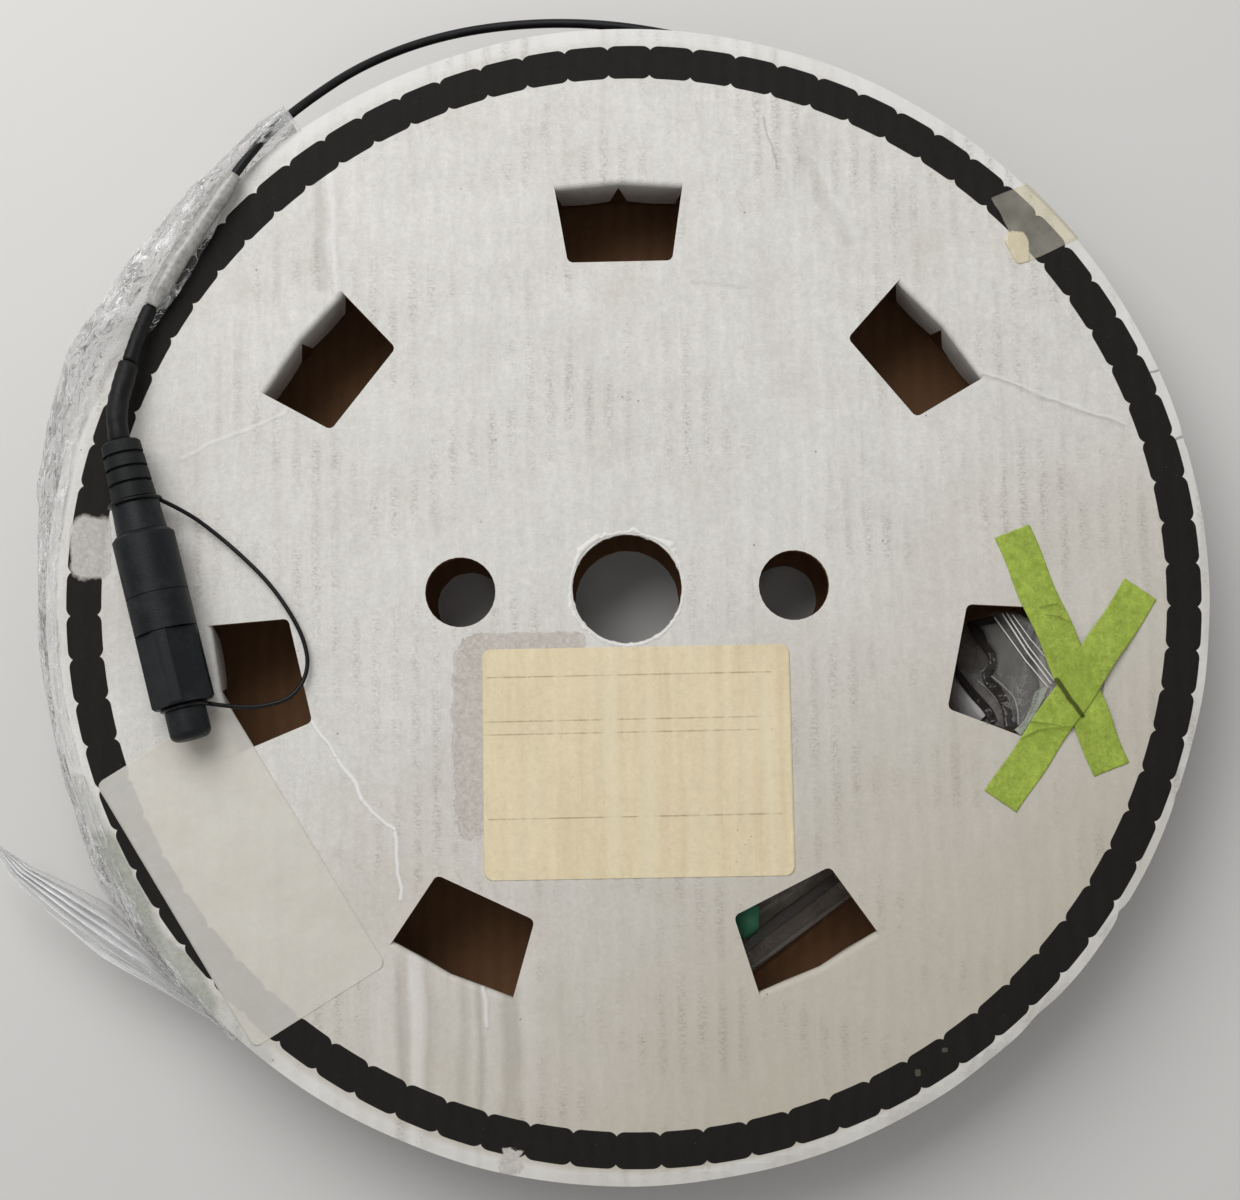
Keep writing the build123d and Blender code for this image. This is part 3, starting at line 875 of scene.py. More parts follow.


# Colour laid on towards the lower right: painted shade and warm light, with yellowing
SHADED_AGED_LINER = (0.53, 0.47, 0.365, 1)
# Colour of the paler rim band, partly painted light
PALE_RIM_BAND = (0.88, 0.87, 0.85, 1)
PAINTED_HIGHLIGHT = (0.93, 0.92, 0.9, 1)
PAINTED_SHADE = (0.2, 0.175, 0.14, 1)
RING_CENTRE = (2.1, -0.3)
RING_R = 179.2
RING_OVAL = 0.0026
RING_HALF = 5.75
RING_SEGMENTS = 80
RING_CUSP = math.radians(-93)
RING_CORNER = 3.4
RING_STRAIGHT = 4.35
TOP_PATCHES = (
    ((-175.6, 17.4), (7.0, 11.2), 0.5, (0.6, 0.575, 0.545, 1)),
    ((-40.5, -181.5), (3.6, 4.2), 2.4, (0.64, 0.61, 0.56, 1)),
    ((-50.8, -46.5), (6.8, 33.0), 0.75, (0.6, 0.555, 0.5, 1)),
    ((-35.0, -17.4), (20.0, 3.9), 1.0, (0.6, 0.555, 0.5, 1)),
    ((89.0, -156.7), (0.8, 1.0), 1.2, (0.1, 0.09, 0.07, 1)),
    ((97.9, -149.8), (0.9, 0.7), 1.2, (0.1, 0.09, 0.07, 1)),
)
TOP_STAIN = (
    ((-181.0, -62.0), (-171.0, -82.0), 4.0, 0.45),
    ((-171.0, -82.0), (-157.5, -107.5), 5.0, 0.95),
    ((-157.5, -107.5), (-139.5, -130.0), 5.0, 0.8),
    ((-139.5, -130.0), (-122.0, -146.5), 5.0, 0.4),
)
# Creases: start, end, width, lift of the relief, and painted tone: above 0 a painted highlight along the
# crease, below 0 painted shade; some dark ones lie beside a pale one as its shaded side
TOP_CREASES = (
    ((-103.1, -41.6), (-95.0, -52.5), 0.9, 0.4, 0.95),
    ((-95.0, -52.5), (-87.0, -66.8), 1.15, 0.45, 0.95),
    ((-87.0, -66.8), (-76.5, -76.6), 0.9, 0.4, 0.9),
    ((-76.5, -76.6), (-75.0, -99.0), 1.1, 0.45, 0.85),
    ((-48.6, -124.9), (-48.0, -139.6), 1.3, 0.6, 0.5),
    ((-94.5, 101.7), (-95.9, 140.0), 2.6, 0.85, 0.4),
    ((-99.0, 103.0), (-100.6, 138.0), 3.4, -0.45, -0.16),
    ((119.8, 67.8), (164.7, 49.7), 1.1, -0.5, -0.12),
    ((121.0, 68.8), (165.5, 50.8), 1.0, 0.3, 0.3),
    ((65.5, 157.5), (62.4, 143.0), 4.0, -0.3, -0.09),
    ((62.4, 143.0), (76.0, 115.0), 4.0, -0.3, -0.1),
    ((66.8, 144.0), (79.0, 117.0), 3.5, 0.4, 0.22),
    ((49.7, 157.3), (53.2, 140.6), 0.6, -0.2, -0.3),
    ((23.8, 102.4), (41.7, 99.6), 1.1, 0.0, -0.12),
    ((-146.0, 46.5), (-112.0, 61.0), 1.1, 0.3, 0.3),
    ((174.3, 68.4), (178.0, 70.2), 0.7, 0.6, -0.5),
    ((181.2, 45.6), (185.5, 47.2), 0.7, 0.6, -0.5),
)
# Vertical ridges and troughs in the liner at the lower left, painted as light and shade: place across,
# and tone from -1 (painted shade) to 1 (painted highlight)
TOP_RIDGE_SHADING = (
    (-86, 0), (-82, 0.2), (-78.5, 0.12), (-76, -0.24), (-73.6, -0.1), (-72, 0.42), (-69.8, 0.34),
    (-67.6, -0.16), (-64, 0), (-59, 0), (-56, -0.14), (-53, 0.06), (-50.6, -0.3), (-48.6, 0.1),
    (-45, 0.04), (-42, -0.24), (-38.5, -0.2), (-35.5, 0.2), (-31, 0), (-12, 0),
)


def liner_grime(tree, coords, parts, color, shaded_yellowing):
    """Painted shade with yellowing, a paler rim band, dirt and painted flute shade on a white liner,
    from broad to fine.
    """
    # Darker and yellower towards the lower right: partly painted shade and warm light that deepen the
    # lamp's fall-off, partly yellowing of the old board
    lean = minus(tree, times(tree, parts.outputs["X"], 0.45), parts.outputs["Y"])
    lean = plus(tree, lean, times(tree, minus(tree, cloud_noise(tree, coords, 9, 4), 0.5), 0.16))
    aged = remap(tree, lean, -0.04, 0.22, shaded_yellowing, interpolation_type="SMOOTHSTEP")
    patchy = cloud_noise(tree, coords, 60, 4)
    out = vector(tree, "LENGTH", vector(tree, "MULTIPLY", coords, (1, 1, 0)))
    color = laid_over(tree, color, SHADED_AGED_LINER, aged)
    # A paler band round the rim: partly painted light that lifts it against the lamp's fall-off
    edge = remap(tree, out, 0.1845, 0.1865, 0.8)
    color = laid_over(tree, color, PALE_RIM_BAND, times(tree, edge, minus(tree, 1.3, patchy)))
    # Dirt rubbed onto the crests of the flutes, as short marks, stronger in some places than in others
    drawn = add(tree, "Mapping", {"Vector": coords, "Scale": (0.6, 1.0, 1)})
    mark = cloud_noise(tree, drawn.outputs[0], 1250, 6, 0.8)
    place = cloud_noise(tree, coords, 26, 5, 0.6)
    mark_mask = remap(tree, mark, 0.44, 0.7)
    place_mask = remap(tree, place, 0.47, 0.62)
    wave = calc(tree, "SINE", times(tree, parts.outputs["X"], 2 * math.pi / (FLUTE_PITCH * MM)))
    crest = remap(tree, wave, -0.5, 1.1, 1, 0.04)
    dirt = times(tree, times(tree, mark_mask, place_mask), crest)
    # Long soft columns of painted shade between them, at the flute pitch, standing in for the
    # washboard's shading
    tall = add(tree, "Mapping", {"Vector": coords, "Scale": (1, 0.14, 1)})
    shade_column_mask = remap(tree, cloud_noise(tree, tall.outputs[0], 130, 3, 0.6), 0.5, 0.7, 0.2)
    shaded_crest = remap(tree, wave, -0.4, 0.9, 1, 0.15)
    color = laid_over(tree, color, (0.43, 0.395, 0.33, 1), times(tree, shade_column_mask, shaded_crest))
    blotch = remap(tree, cloud_noise(tree, coords, 33, 6, 0.7), 0.5, 0.72, 0.22)
    color = laid_over(tree, color, (0.56, 0.5, 0.4, 1), blotch)
    color = laid_over(tree, color, (0.28, 0.24, 0.185, 1), times(tree, dirt, 0.82))
    # Small dark specks, in one in twenty of the cells
    cells = add(tree, "TexVoronoi", {"Vector": coords, "Scale": 190, "Randomness": 1})
    near = remap(tree, cells.outputs["Distance"], 0.1, 0.03)
    chosen = add(tree, "SeparateColor", {"Color": cells.outputs["Color"]})
    some = calc(tree, "GREATER_THAN", chosen.outputs[0], 0.95)
    return laid_over(tree, color, (0.12, 0.1, 0.08, 1), times(tree, times(tree, near, some), 0.6))


def painted_ridge_shading(tree, coords, parts, color, folds):
    """Vertical ridges and troughs as painted highlight and painted shade, read from a colour ramp across
    the flange.
    """
    left, right = folds[0][0], folds[-1][0]
    sway = times(tree, minus(tree, cloud_noise(tree, coords, 24, 2), 0.5), 0.007)
    across = remap(tree, plus(tree, parts.outputs["X"], sway), left * MM, right * MM)
    tone = add(tree, "ValToRGB", {"Fac": across})
    stops = tone.color_ramp.elements
    for number, (place, strength) in enumerate(folds):
        share = (place - left) / (right - left)
        stop = stops[number] if number < 2 else stops.new(share)
        stop.position = share
        stop.color = (0.5 + strength / 2,) * 3 + (1,)
    low = remap(tree, parts.outputs["Y"], -0.108, -0.122)
    fade = remap(tree, parts.outputs["Y"], -0.18, -0.15, 1, 0.45)
    shown = times(tree, low, fade)
    level = minus(tree, times(tree, tone.outputs["Color"], 2.0), 1.0)
    pale = times(tree, calc(tree, "MAXIMUM", level, 0.0), shown)
    dull = times(tree, calc(tree, "MAXIMUM", times(tree, level, -1.0), 0.0), shown)
    return laid_over(tree, laid_over(tree, color, PAINTED_HIGHLIGHT, pale), PAINTED_SHADE, dull)


def ring_print(tree, parts):
    """Mask of the printed ring: rounded blocks whose corners leave a cusp at each joint."""
    x = times(tree, minus(tree, parts.outputs["X"], RING_CENTRE[0] * MM), 1 - RING_OVAL)
    y = times(tree, minus(tree, parts.outputs["Y"], RING_CENTRE[1] * MM), 1 + RING_OVAL)
    angle = calc(tree, "ARCTAN2", y, x)
    turns = times(tree, minus(tree, angle, RING_CUSP), RING_SEGMENTS / (2 * math.pi))
    step = calc(tree, "ABSOLUTE", minus(tree, calc(tree, "FRACT", turns), 0.5))
    pitch = 2 * math.pi * RING_R * MM / RING_SEGMENTS
    beyond = calc(tree, "MAXIMUM", minus(tree, times(tree, step, pitch), RING_STRAIGHT * MM), 0)
    radius = calc(tree, "SQRT", plus(tree, times(tree, x, x), times(tree, y, y)))
    off = calc(tree, "ABSOLUTE", minus(tree, radius, RING_R * MM))
    over = calc(tree, "MAXIMUM", minus(tree, off, (RING_HALF - RING_CORNER) * MM), 0)
    away = calc(tree, "SQRT", plus(tree, times(tree, beyond, beyond), times(tree, over, over)))
    return remap(tree, away, (RING_CORNER + 0.08) * MM, (RING_CORNER - 0.08) * MM)


def white_liner(name, patches, stain, creases, folds, shaded_yellowing):
    """White-topped liner: grime and painted shade, the printed ring, what wear has torn and creased, and
    painted light and shade along its creases and ridges.
    """
    made, tree, shader, coords = new_finish(name, (0.66, 0.63, 0.58), 0.75, Specular_IOR_Level=0.2)
    color, grain_height = grain_and_flute_shade(tree, coords, (0.785, 0.765, 0.725), 0.5, 0.02)
    parts = add(tree, "SeparateXYZ", {"Vector": coords})
    color = liner_grime(tree, coords, parts, color, shaded_yellowing)
    if folds:
        color = painted_ridge_shading(tree, coords, parts, color, folds)
    # Water stain along the rim
    fuzzy = None
    for start, end, width, strength in stain:
        wet = remap(tree, crease(tree, coords, start, end, width + 5, 0.006), 0.18, 0.45, strength)
        color = laid_over(tree, color, (0.42, 0.43, 0.37, 1), wet)
        fuzzy = wet if fuzzy is None else calc(tree, "MAXIMUM", fuzzy, wet)
    # The print is on the liner's outer face only, and has flaked in places
    printed = ring_print(tree, parts)
    up = add(tree, "SeparateXYZ", {"Vector": add(tree, "NewGeometry").outputs["True Normal"]})
    faced = calc(tree, "GREATER_THAN", calc(tree, "ABSOLUTE", up.outputs["Z"]), 0.7)
    ink, _ = grain_and_flute_shade(tree, coords, (0.0135, 0.0118, 0.0102), 0.9, 0.06)
    flaked = remap(tree, cloud_noise(tree, coords, 900, 4, 0.7), 0.735, 0.76)
    kept = minus(tree, 1.0, times(tree, flaked, 0.6))
    color = laid_over(tree, color, ink, times(tree, times(tree, printed, faced), kept))
    # Paper torn off with old labels, with a darker outline
    for centre, half, ragged, tint in patches:
        torn, outline = torn_patch(tree, coords, centre, half, ragged)
        color = laid_over(tree, color, tint, times(tree, torn, 0.95))
        color = laid_over(tree, color, (0.27, 0.22, 0.175, 1), times(tree, outline, 0.4))
        fuzzy = torn if fuzzy is None else calc(tree, "MAXIMUM", fuzzy, torn)
    # Loose fibres where the paper is torn or was wet
    if fuzzy is not None:
        fibres = remap(tree, cloud_noise(tree, coords, 760, 5, 0.75), 0.3, 0.7, 1.22, 0.78)
        bright = plus(tree, 1.0, times(tree, fuzzy, minus(tree, fibres, 1.0)))
        color = vector(tree, "SCALE", color, bright)
    height = times(tree, grain_height, 0.22)
    bare = minus(tree, 1.0, times(tree, printed, 0.9))
    # Each crease is raised in the bump and painted pale as a highlight or dark as shade, by the sign of
    # its tone
    for start, end, width, lift, white in creases:
        line = crease(tree, coords, start, end, width)
        height = plus(tree, height, times(tree, line, lift * 0.9))
        core = remap(tree, line, 0.1, 0.8, abs(white))
        tone = PAINTED_HIGHLIGHT if white > 0 else PAINTED_SHADE
        color = laid_over(tree, color, tone, times(tree, core, bare))
    surfaced(tree, shader, color, bumped(tree, height, 0.0006, 0.85))
    return made


def brown_liner(name, color):
    """Unbleached kraft liner and medium."""
    made, tree, shader, coords = new_finish(name, color, 0.88, Specular_IOR_Level=0.12)
    grain, height = grain_and_flute_shade(tree, coords, color, 0.35, 0.05)
    surfaced(tree, shader, grain, bumped(tree, height, 0.0003, 0.6))
    return made


top_finish = white_liner("top_liner_finish", TOP_PATCHES, TOP_STAIN, TOP_CREASES, TOP_RIDGE_SHADING, 0.72)
under_finish = white_liner("bottom_liner_finish", (), (), (), (), 0.5)
kraft_finish = brown_liner("kraft_finish", (0.225, 0.118, 0.06))
top_parts = blank_parts(2.6, 1.0)
top_board = board_piece("top_flange_board", top_parts, top_place, [top_finish, kraft_finish])
bottom_parts = blank_parts(4.5, 0.5)
bottom_board = board_piece(
    "bottom_flange_board", bottom_parts, bottom_place, [under_finish, kraft_finish]
)
for board, node in ((top_board, "top_flange"), (bottom_board, "bottom_flange")):
    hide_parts(node)
    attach(board, "reel")

# Torn fibres round the spindle hole, where a shaft has dragged the liner up into a white ragged edge.
# Places where it is dragged furthest: share, angle in degrees, width in degrees
DRAGGED = ((1.0, 127, 17), (0.9, 42, 13), (0.6, 85, 12), (0.5, 196, 14))


def plain_finish(name, color, roughness, scale, depth, **shader_values):
    """Finish of one colour with a fine grain."""
    made, tree, shader, coords = new_finish(name, color, roughness, **shader_values)
    tree.links.new(noise_bump(tree, coords, scale, depth), shader.inputs["Normal"])
    return made


fibre_finish = plain_finish(
    "torn_fibre_finish", (0.9, 0.88, 0.84), 0.9, 1800, 0.0003, Specular_IOR_Level=0.1
)
around, across = 240, 6
vertices = []
for index in range(around):
    turn = 2 * math.pi * index / around
    ahead = Vector((math.cos(turn), math.sin(turn), 0))
    rough = noise.noise(ahead * 4.5) + 0.7 * noise.noise(ahead * 13 + Vector((5, 0, 0)))
    inner = SPINDLE_R - 0.15 + 0.5 * min(0, noise.noise(ahead * 9 + Vector((0, 7, 0))))
    dragged = sum(
        share * math.exp(-(((math.degrees(turn) - at) / width) ** 2)) for share, at, width in DRAGGED
    )
    outer = SPINDLE_R + 1.0 + 0.8 * max(-0.6, rough) + 1.7 * dragged * (1 + 0.8 * rough)
    for step in range(across):
        share = step / (across - 1)
        radius = inner + (outer - inner) * share
        curl = (0.34 + 0.3 * dragged) * math.sin(math.pi * min(1, share * 1.1)) * (1 + rough)
        vertices.append(
            (radius * ahead.x, radius * ahead.y, TOP + 0.03 - 0.9 * (1 - share) ** 3 + max(0, curl))
        )
faces = net(around, across, True, False)
torn_edge = new_piece("torn_spindle_edge", vertices, faces, fibre_finish)
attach(torn_edge, "reel")

# Core: a strip of the same brown board bent into a ring, which the flaps of both flanges are glued to.
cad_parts["core_ring"].data.materials.clear()
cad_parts["core_ring"].data.materials.append(brown_liner("core_finish", (0.21, 0.108, 0.054)))

# Winding: the cable on the core, layer on layer. Each turn of the last layer is a real turn of cable
# beside the next, and the layers under it are one turned body.
WINDING_OUTER_R = 165.42
WINDING_INNER_R = 145.83
TURNS = 12
TRAVERSE = 38.1
WINDING_GAP = 0.05

rope = bpy.data.node_groups.new("wound_turns", "GeometryNodeTree")
rope.interface.new_socket("Geometry", in_out="INPUT", socket_type="NodeSocketGeometry")
for label, kind in {
    "Turns": "Int",
    "Pitch": "Float",
    "Radius": "Float",
    "Cable radius": "Float",
    "First height": "Float",
    "Slack": "Float",
    "Finish": "Material",
}.items():
    rope.interface.new_socket(label, in_out="INPUT", socket_type="NodeSocket" + kind)
rope.interface.new_socket("Geometry", in_out="OUTPUT", socket_type="NodeSocketGeometry")


def geo(kind, inputs=None, **settings):
    """Outputs of a new node in the winding's tree."""
    return add_node(rope, kind, inputs, **settings).outputs


given = rope.nodes.new("NodeGroupInput").outputs
first = geo("ShaderNodeCombineXYZ", {"Z": given["First height"]})[0]
pitch = geo("ShaderNodeCombineXYZ", {"Z": given["Pitch"]})[0]
stack = geo(
    "GeometryNodeMeshLine", {"Count": given["Turns"], "Start Location": first, "Offset": pitch}
)[0]
turn = geo("GeometryNodeCurvePrimitiveCircle", {"Resolution": 220, "Radius": given["Radius"]})[0]
copies = geo("GeometryNodeInstanceOnPoints", {"Points": stack, "Instance": turn})[0]
turns = geo("GeometryNodeRealizeInstances", {"Geometry": copies})[0]
position = geo("GeometryNodeInputPosition")[0]
stretched = geo("ShaderNodeVectorMath", {0: position, 1: (12, 12, 90)}, operation="MULTIPLY")[0]
uneven = geo("ShaderNodeTexNoise", {"Vector": stretched, "Scale": 1.0, "Detail": 1.0})["Color"]
centred = geo("ShaderNodeVectorMath", {0: uneven, 1: (0.5, 0.5, 0.5)}, operation="SUBTRACT")[0]
slack = geo("ShaderNodeVectorMath", {0: centred, "Scale": given["Slack"]}, operation="SCALE")[0]
laid = geo("GeometryNodeSetPosition", {"Geometry": turns, "Offset": slack})[0]
round_section = {"Resolution": 10, "Radius": given["Cable radius"]}
section = geo("GeometryNodeCurvePrimitiveCircle", round_section)[0]
wound = geo("GeometryNodeCurveToMesh", {"Curve": laid, "Profile Curve": section})[0]
smooth = geo("GeometryNodeSetShadeSmooth", {"Geometry": wound})[0]
finished = geo("GeometryNodeSetMaterial", {"Geometry": smooth, "Material": given["Finish"]})[0]
rope.links.new(finished, rope.nodes.new("NodeGroupOutput").inputs[0])


def from_nodes(name, tree, values):
    """Plain mesh object made by a geometry tree with the named inputs set."""
    holder = bpy.data.objects.new(name + "_holder", bpy.data.meshes.new(name + "_holder"))
    scene.collection.objects.link(holder)
    modifier = holder.modifiers.new("tree", "NODES")
    modifier.node_group = tree
    for item in tree.interface.items_tree:
        if item.in_out == "INPUT" and item.name in values:
            modifier[item.identifier] = values[item.name]
    evaluated = holder.evaluated_get(bpy.context.evaluated_depsgraph_get())
    mesh = bpy.data.meshes.new_from_object(evaluated)
    mesh.name = name
    bpy.data.objects.remove(holder)
    made = bpy.data.objects.new(name, mesh)
    scene.collection.objects.link(made)
    return made


turns_mesh = from_nodes(
    "wound_cable_turns",
    rope,
    {
        "Turns": TURNS,
        "Pitch": TRAVERSE / TURNS * MM,
        "Radius": (WINDING_OUTER_R - CABLE_D / 2 - 0.35) * MM,
        "Cable radius": CABLE_D / 2 * MM,
        "First height": (BOARD + TRAVERSE / TURNS / 2) * MM,
        "Slack": 0.0006,
        "Finish": jacket_finish,
    },
)
around = 128
profile = [
    (WINDING_INNER_R, BOARD + WINDING_GAP),
    (WINDING_OUTER_R - 2.2, BOARD + WINDING_GAP),
    (WINDING_OUTER_R - 2.2, BOARD + TRAVERSE - WINDING_GAP),
    (WINDING_INNER_R, BOARD + TRAVERSE - WINDING_GAP),
]
vertices = []
for index in range(around):
    angle = 2 * math.pi * index / around
    vertices += [(*polar(radius, angle), height) for radius, height in profile]
faces = net(around, len(profile), True, True, flip=True)
layers = new_piece("wound_cable_layers", vertices, faces, jacket_finish, smooth=False)
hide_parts("cable_winding")
for piece in (turns_mesh, layers):
    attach(piece, "reel")

# Labels: a cream paper label in the middle of the flange, over torn grey paper of an older one, and
# a milky clear label that is stuck across the printed ring at the lower left.
LABEL_CENTRE = (2.2, -56.4)
LABEL_SIZE = (100.0, 74.5)
LABEL_TURN = math.radians(-0.2)
LABEL_CORNER = 3.0
LABEL_RULES = ((-28.2, -46, 46), (-42.6, -47, 46), (-46.8, -47, 46), (-74.0, -46, 48))
CLEAR_CENTRE = (-126.3, -89.6)
CLEAR_SIZE = (49.5, 99.0)
CLEAR_TURN = math.radians(31)
CLEAR_CORNER = 2.6
SHEET_T = 0.12


def thin_sheet(name, grid, thickness, material):
    """Closed sheet about a grid of points, rows by columns, with a UV map of shares of both."""
    grid = np.asarray(grid, float)
    rows, columns = grid.shape[:2]
    across, along = np.gradient(grid, axis=1), np.gradient(grid, axis=0)
    normal = np.cross(across, along)
    normal /= np.linalg.norm(normal, axis=2)[..., None] + 1e-9
    both = [
        (grid + normal * thickness / 2).reshape(-1, 3), (grid - normal * thickness / 2).reshape(-1, 3)
    ]
    count = rows * columns
    index = np.arange(count).reshape(rows, columns)
    quads = np.stack(
        [index[:-1, :-1], index[:-1, 1:], index[1:, 1:], index[1:, :-1]], axis=-1
    ).reshape(-1, 4)
    border = np.concatenate([index[0, :-1], index[:-1, -1], index[-1, :0:-1], index[:0:-1, 0]])
    after = np.roll(border, -1)
    walls = np.stack([border, border + count, after + count, after], axis=1)
    faces = np.vstack([quads, quads[:, ::-1] + count, walls])
    made = new_piece(name, np.vstack(both), faces, material)
    share = np.stack(
        np.meshgrid(np.linspace(0, 1, columns), np.linspace(0, 1, rows)), axis=-1
    ).reshape(-1, 2)
    corners = np.empty(len(made.data.loops), int)
    made.data.loops.foreach_get("vertex_index", corners)
    made.data.uv_layers.new(name="share").data.foreach_set("uv", share[corners % count].ravel())
    return made


def label_grid(centre, size, turn, corner, columns, rows, height):
    """Points over a turned rounded rectangle; height is a function of x, y and shares of its size."""
    half_width, half_height = size[0] / 2, size[1] / 2
    rise = np.linspace(0, math.pi / 2, 7)
    ends = half_height - corner + corner * np.sin(rise)
    middle = np.linspace(-half_height + corner, half_height - corner, rows)[1:-1]
    levels = np.concatenate([-ends[::-1], middle, ends])
    grid = np.zeros((len(levels), columns, 3))
    for row, level in enumerate(levels):
        beyond = max(0, abs(level) - (half_height - corner))
        reach = half_width - corner + math.sqrt(max(0, corner**2 - beyond**2))
        grid[row, :, 0] = np.linspace(-reach, reach, columns)
        grid[row, :, 1] = level
    x, y = turned(centre, turn, grid[..., 0], grid[..., 1])
    z = height(x, y, grid[..., 0] / half_width, grid[..., 1] / half_height)
    return np.stack([x, y, z], axis=-1)


def washboard(x):
    return 0.05 * np.sin(2 * math.pi * x / FLUTE_PITCH)


def paper_height(x, y, across, up):
    return TOP + 0.14 + washboard(x) + 0.25 * np.clip(np.abs(across) * np.abs(up) - 0.93, 0, 1) / 0.07


def clear_height(x, y, across, up):
    return TOP + 0.16 + washboard(x) + 0.35 * np.clip(across * -up - 0.85, 0, 1) / 0.15


paper_finish, tree, shader, coords = new_finish("paper_label_finish", (0.8, 0.7, 0.44), 0.6)
color, grain_height = grain_and_flute_shade(tree, coords, (0.86, 0.735, 0.485), 0.4, 0.006)
drawn = add(tree, "Mapping", {"Vector": coords, "Scale": (1, 0.06, 1)})
pressed = cloud_noise(tree, drawn.outputs[0], 260, 4)
color = laid_over(tree, color, (0.89, 0.82, 0.62, 1), remap(tree, pressed, 0.48, 0.75, 0.45))
color = laid_over(tree, color, (0.64, 0.5, 0.3, 1), remap(tree, pressed, 0.46, 0.25, 0.3))
for row, start, end in LABEL_RULES:
    rule = crease(tree, coords, (start, row), (end, row), 0.4, 0.0)
    patchy = remap(tree, pressed, 0.66, 0.4, 0.75)
    color = laid_over(tree, color, (0.33, 0.25, 0.14, 1), times(tree, rule, patchy))
specks = cloud_noise(tree, coords, 700, 4, 0.7)
corner_dirt, _ = torn_patch(tree, coords, (40, -84), (14, 9), 0.8, 0.7)
level = plus(tree, specks, times(tree, corner_dirt, 0.06))
color = laid_over(tree, color, (0.22, 0.15, 0.07, 1), remap(tree, level, 0.67, 0.73, 0.6))
surfaced(tree, shader, color, bumped(tree, grain_height, 0.00012, 0.6))
grid = label_grid(LABEL_CENTRE, LABEL_SIZE, LABEL_TURN, LABEL_CORNER, 120, 30, paper_height)
paper_label = thin_sheet("cream_paper_label", grid, SHEET_T, paper_finish)


def thin_film(
    tree, shader, cover, color, through_share, gloss, roughness, normal, clear=(0.98, 0.98, 0.98, 1)
):
    """Swaps a material's shader for thin film: part see-through, part milky, part gloss."""
    haze = add(tree, "BsdfDiffuse", {"Color": color, "Normal": normal})
    through = add(tree, "BsdfTranslucent", {"Color": color, "Normal": normal})
    milky = add(tree, "MixShader", {0: through_share, 1: haze.outputs[0], 2: through.outputs[0]})
    sheen = add(tree, "BsdfGlossy", {"Color": (1, 1, 1, 1), "Roughness": roughness, "Normal": normal})
    surface = add(tree, "MixShader", {0: gloss, 1: milky.outputs[0], 2: sheen.outputs[0]})
    empty = add(tree, "BsdfTransparent", {"Color": clear})
    seen = add(tree, "MixShader", {0: cover, 1: empty.outputs[0], 2: surface.outputs[0]})
    tree.links.new(seen.outputs[0], tree.nodes["Material Output"].inputs["Surface"])
    tree.nodes.remove(shader)


clear_finish, tree, shader, coords = new_finish("clear_label_finish", (0.9, 0.9, 0.87), 0.4)
cloud = cloud_noise(tree, coords, 60, 5)
color = two_tones(tree, cloud, 0.3, (0.975, 0.945, 0.88), 0.7, (1.0, 0.985, 0.925))
thin_film(tree, shader, 0.67, color, 0.36, 0.03, 0.35, noise_bump(tree, coords, 90, 0.0012, 0.6))
grid = label_grid(CLEAR_CENTRE, CLEAR_SIZE, CLEAR_TURN, CLEAR_CORNER, 50, 60, clear_height)
clear_label = thin_sheet("milky_clear_label", grid, SHEET_T, clear_finish)
for piece, node, slot in (
    (paper_label, "paper_label", "label"), (clear_label, "clear_label", "clear_label")
):
    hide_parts(node)
    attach(piece, "reel")

# Green tape: two strips of lime paper tape crossed over the bag's mouth beside the right window. They
# are wrinkled where they bridge the window's edge and the zip.
TAPE_SIZE = (12.3, 83.5)
TAPE_T = 0.13
TAPES = {
    "tape_strip_under": ((140.75, -23.0), math.radians(20.2)),
    "tape_strip_over": ((143.3, -37.8), math.radians(-35.6)),
}
MOUTH_LINE = ((129.0, -28.0), (163.0, -36.0))
ZIP_END = ((138.3, -32.9), (146.2, -44.9))
# Folds in each strip: start, end, height, width
TAPE_FOLDS = (
    (
        ((135.8, -11.9), (140.6, -12.5), 0.4, 0.55),
        ((140.6, -12.5), (143.6, -14.3), 0.4, 0.5),
        ((134.3, -9.3), (139.8, -8.2), 0.3, 0.8),
    ),
    (
        ((126.2, -51.9), (131.5, -49.1), 0.45, 0.6),
        ((131.5, -49.1), (143.2, -48.3), 0.45, 0.6),
        ((129.4, -46.1), (139.0, -48.0), 0.3, 0.6),
    ),
)


def by_line(x, y, start, end):
    """Distances of places along a line from its start and to its left, and its length."""
    length = math.dist(start, end)
    ahead = np.subtract(end, start) / length
    along = (x - start[0]) * ahead[0] + (y - start[1]) * ahead[1]
    return along, (x - start[0]) * -ahead[1] + (y - start[1]) * ahead[0], length


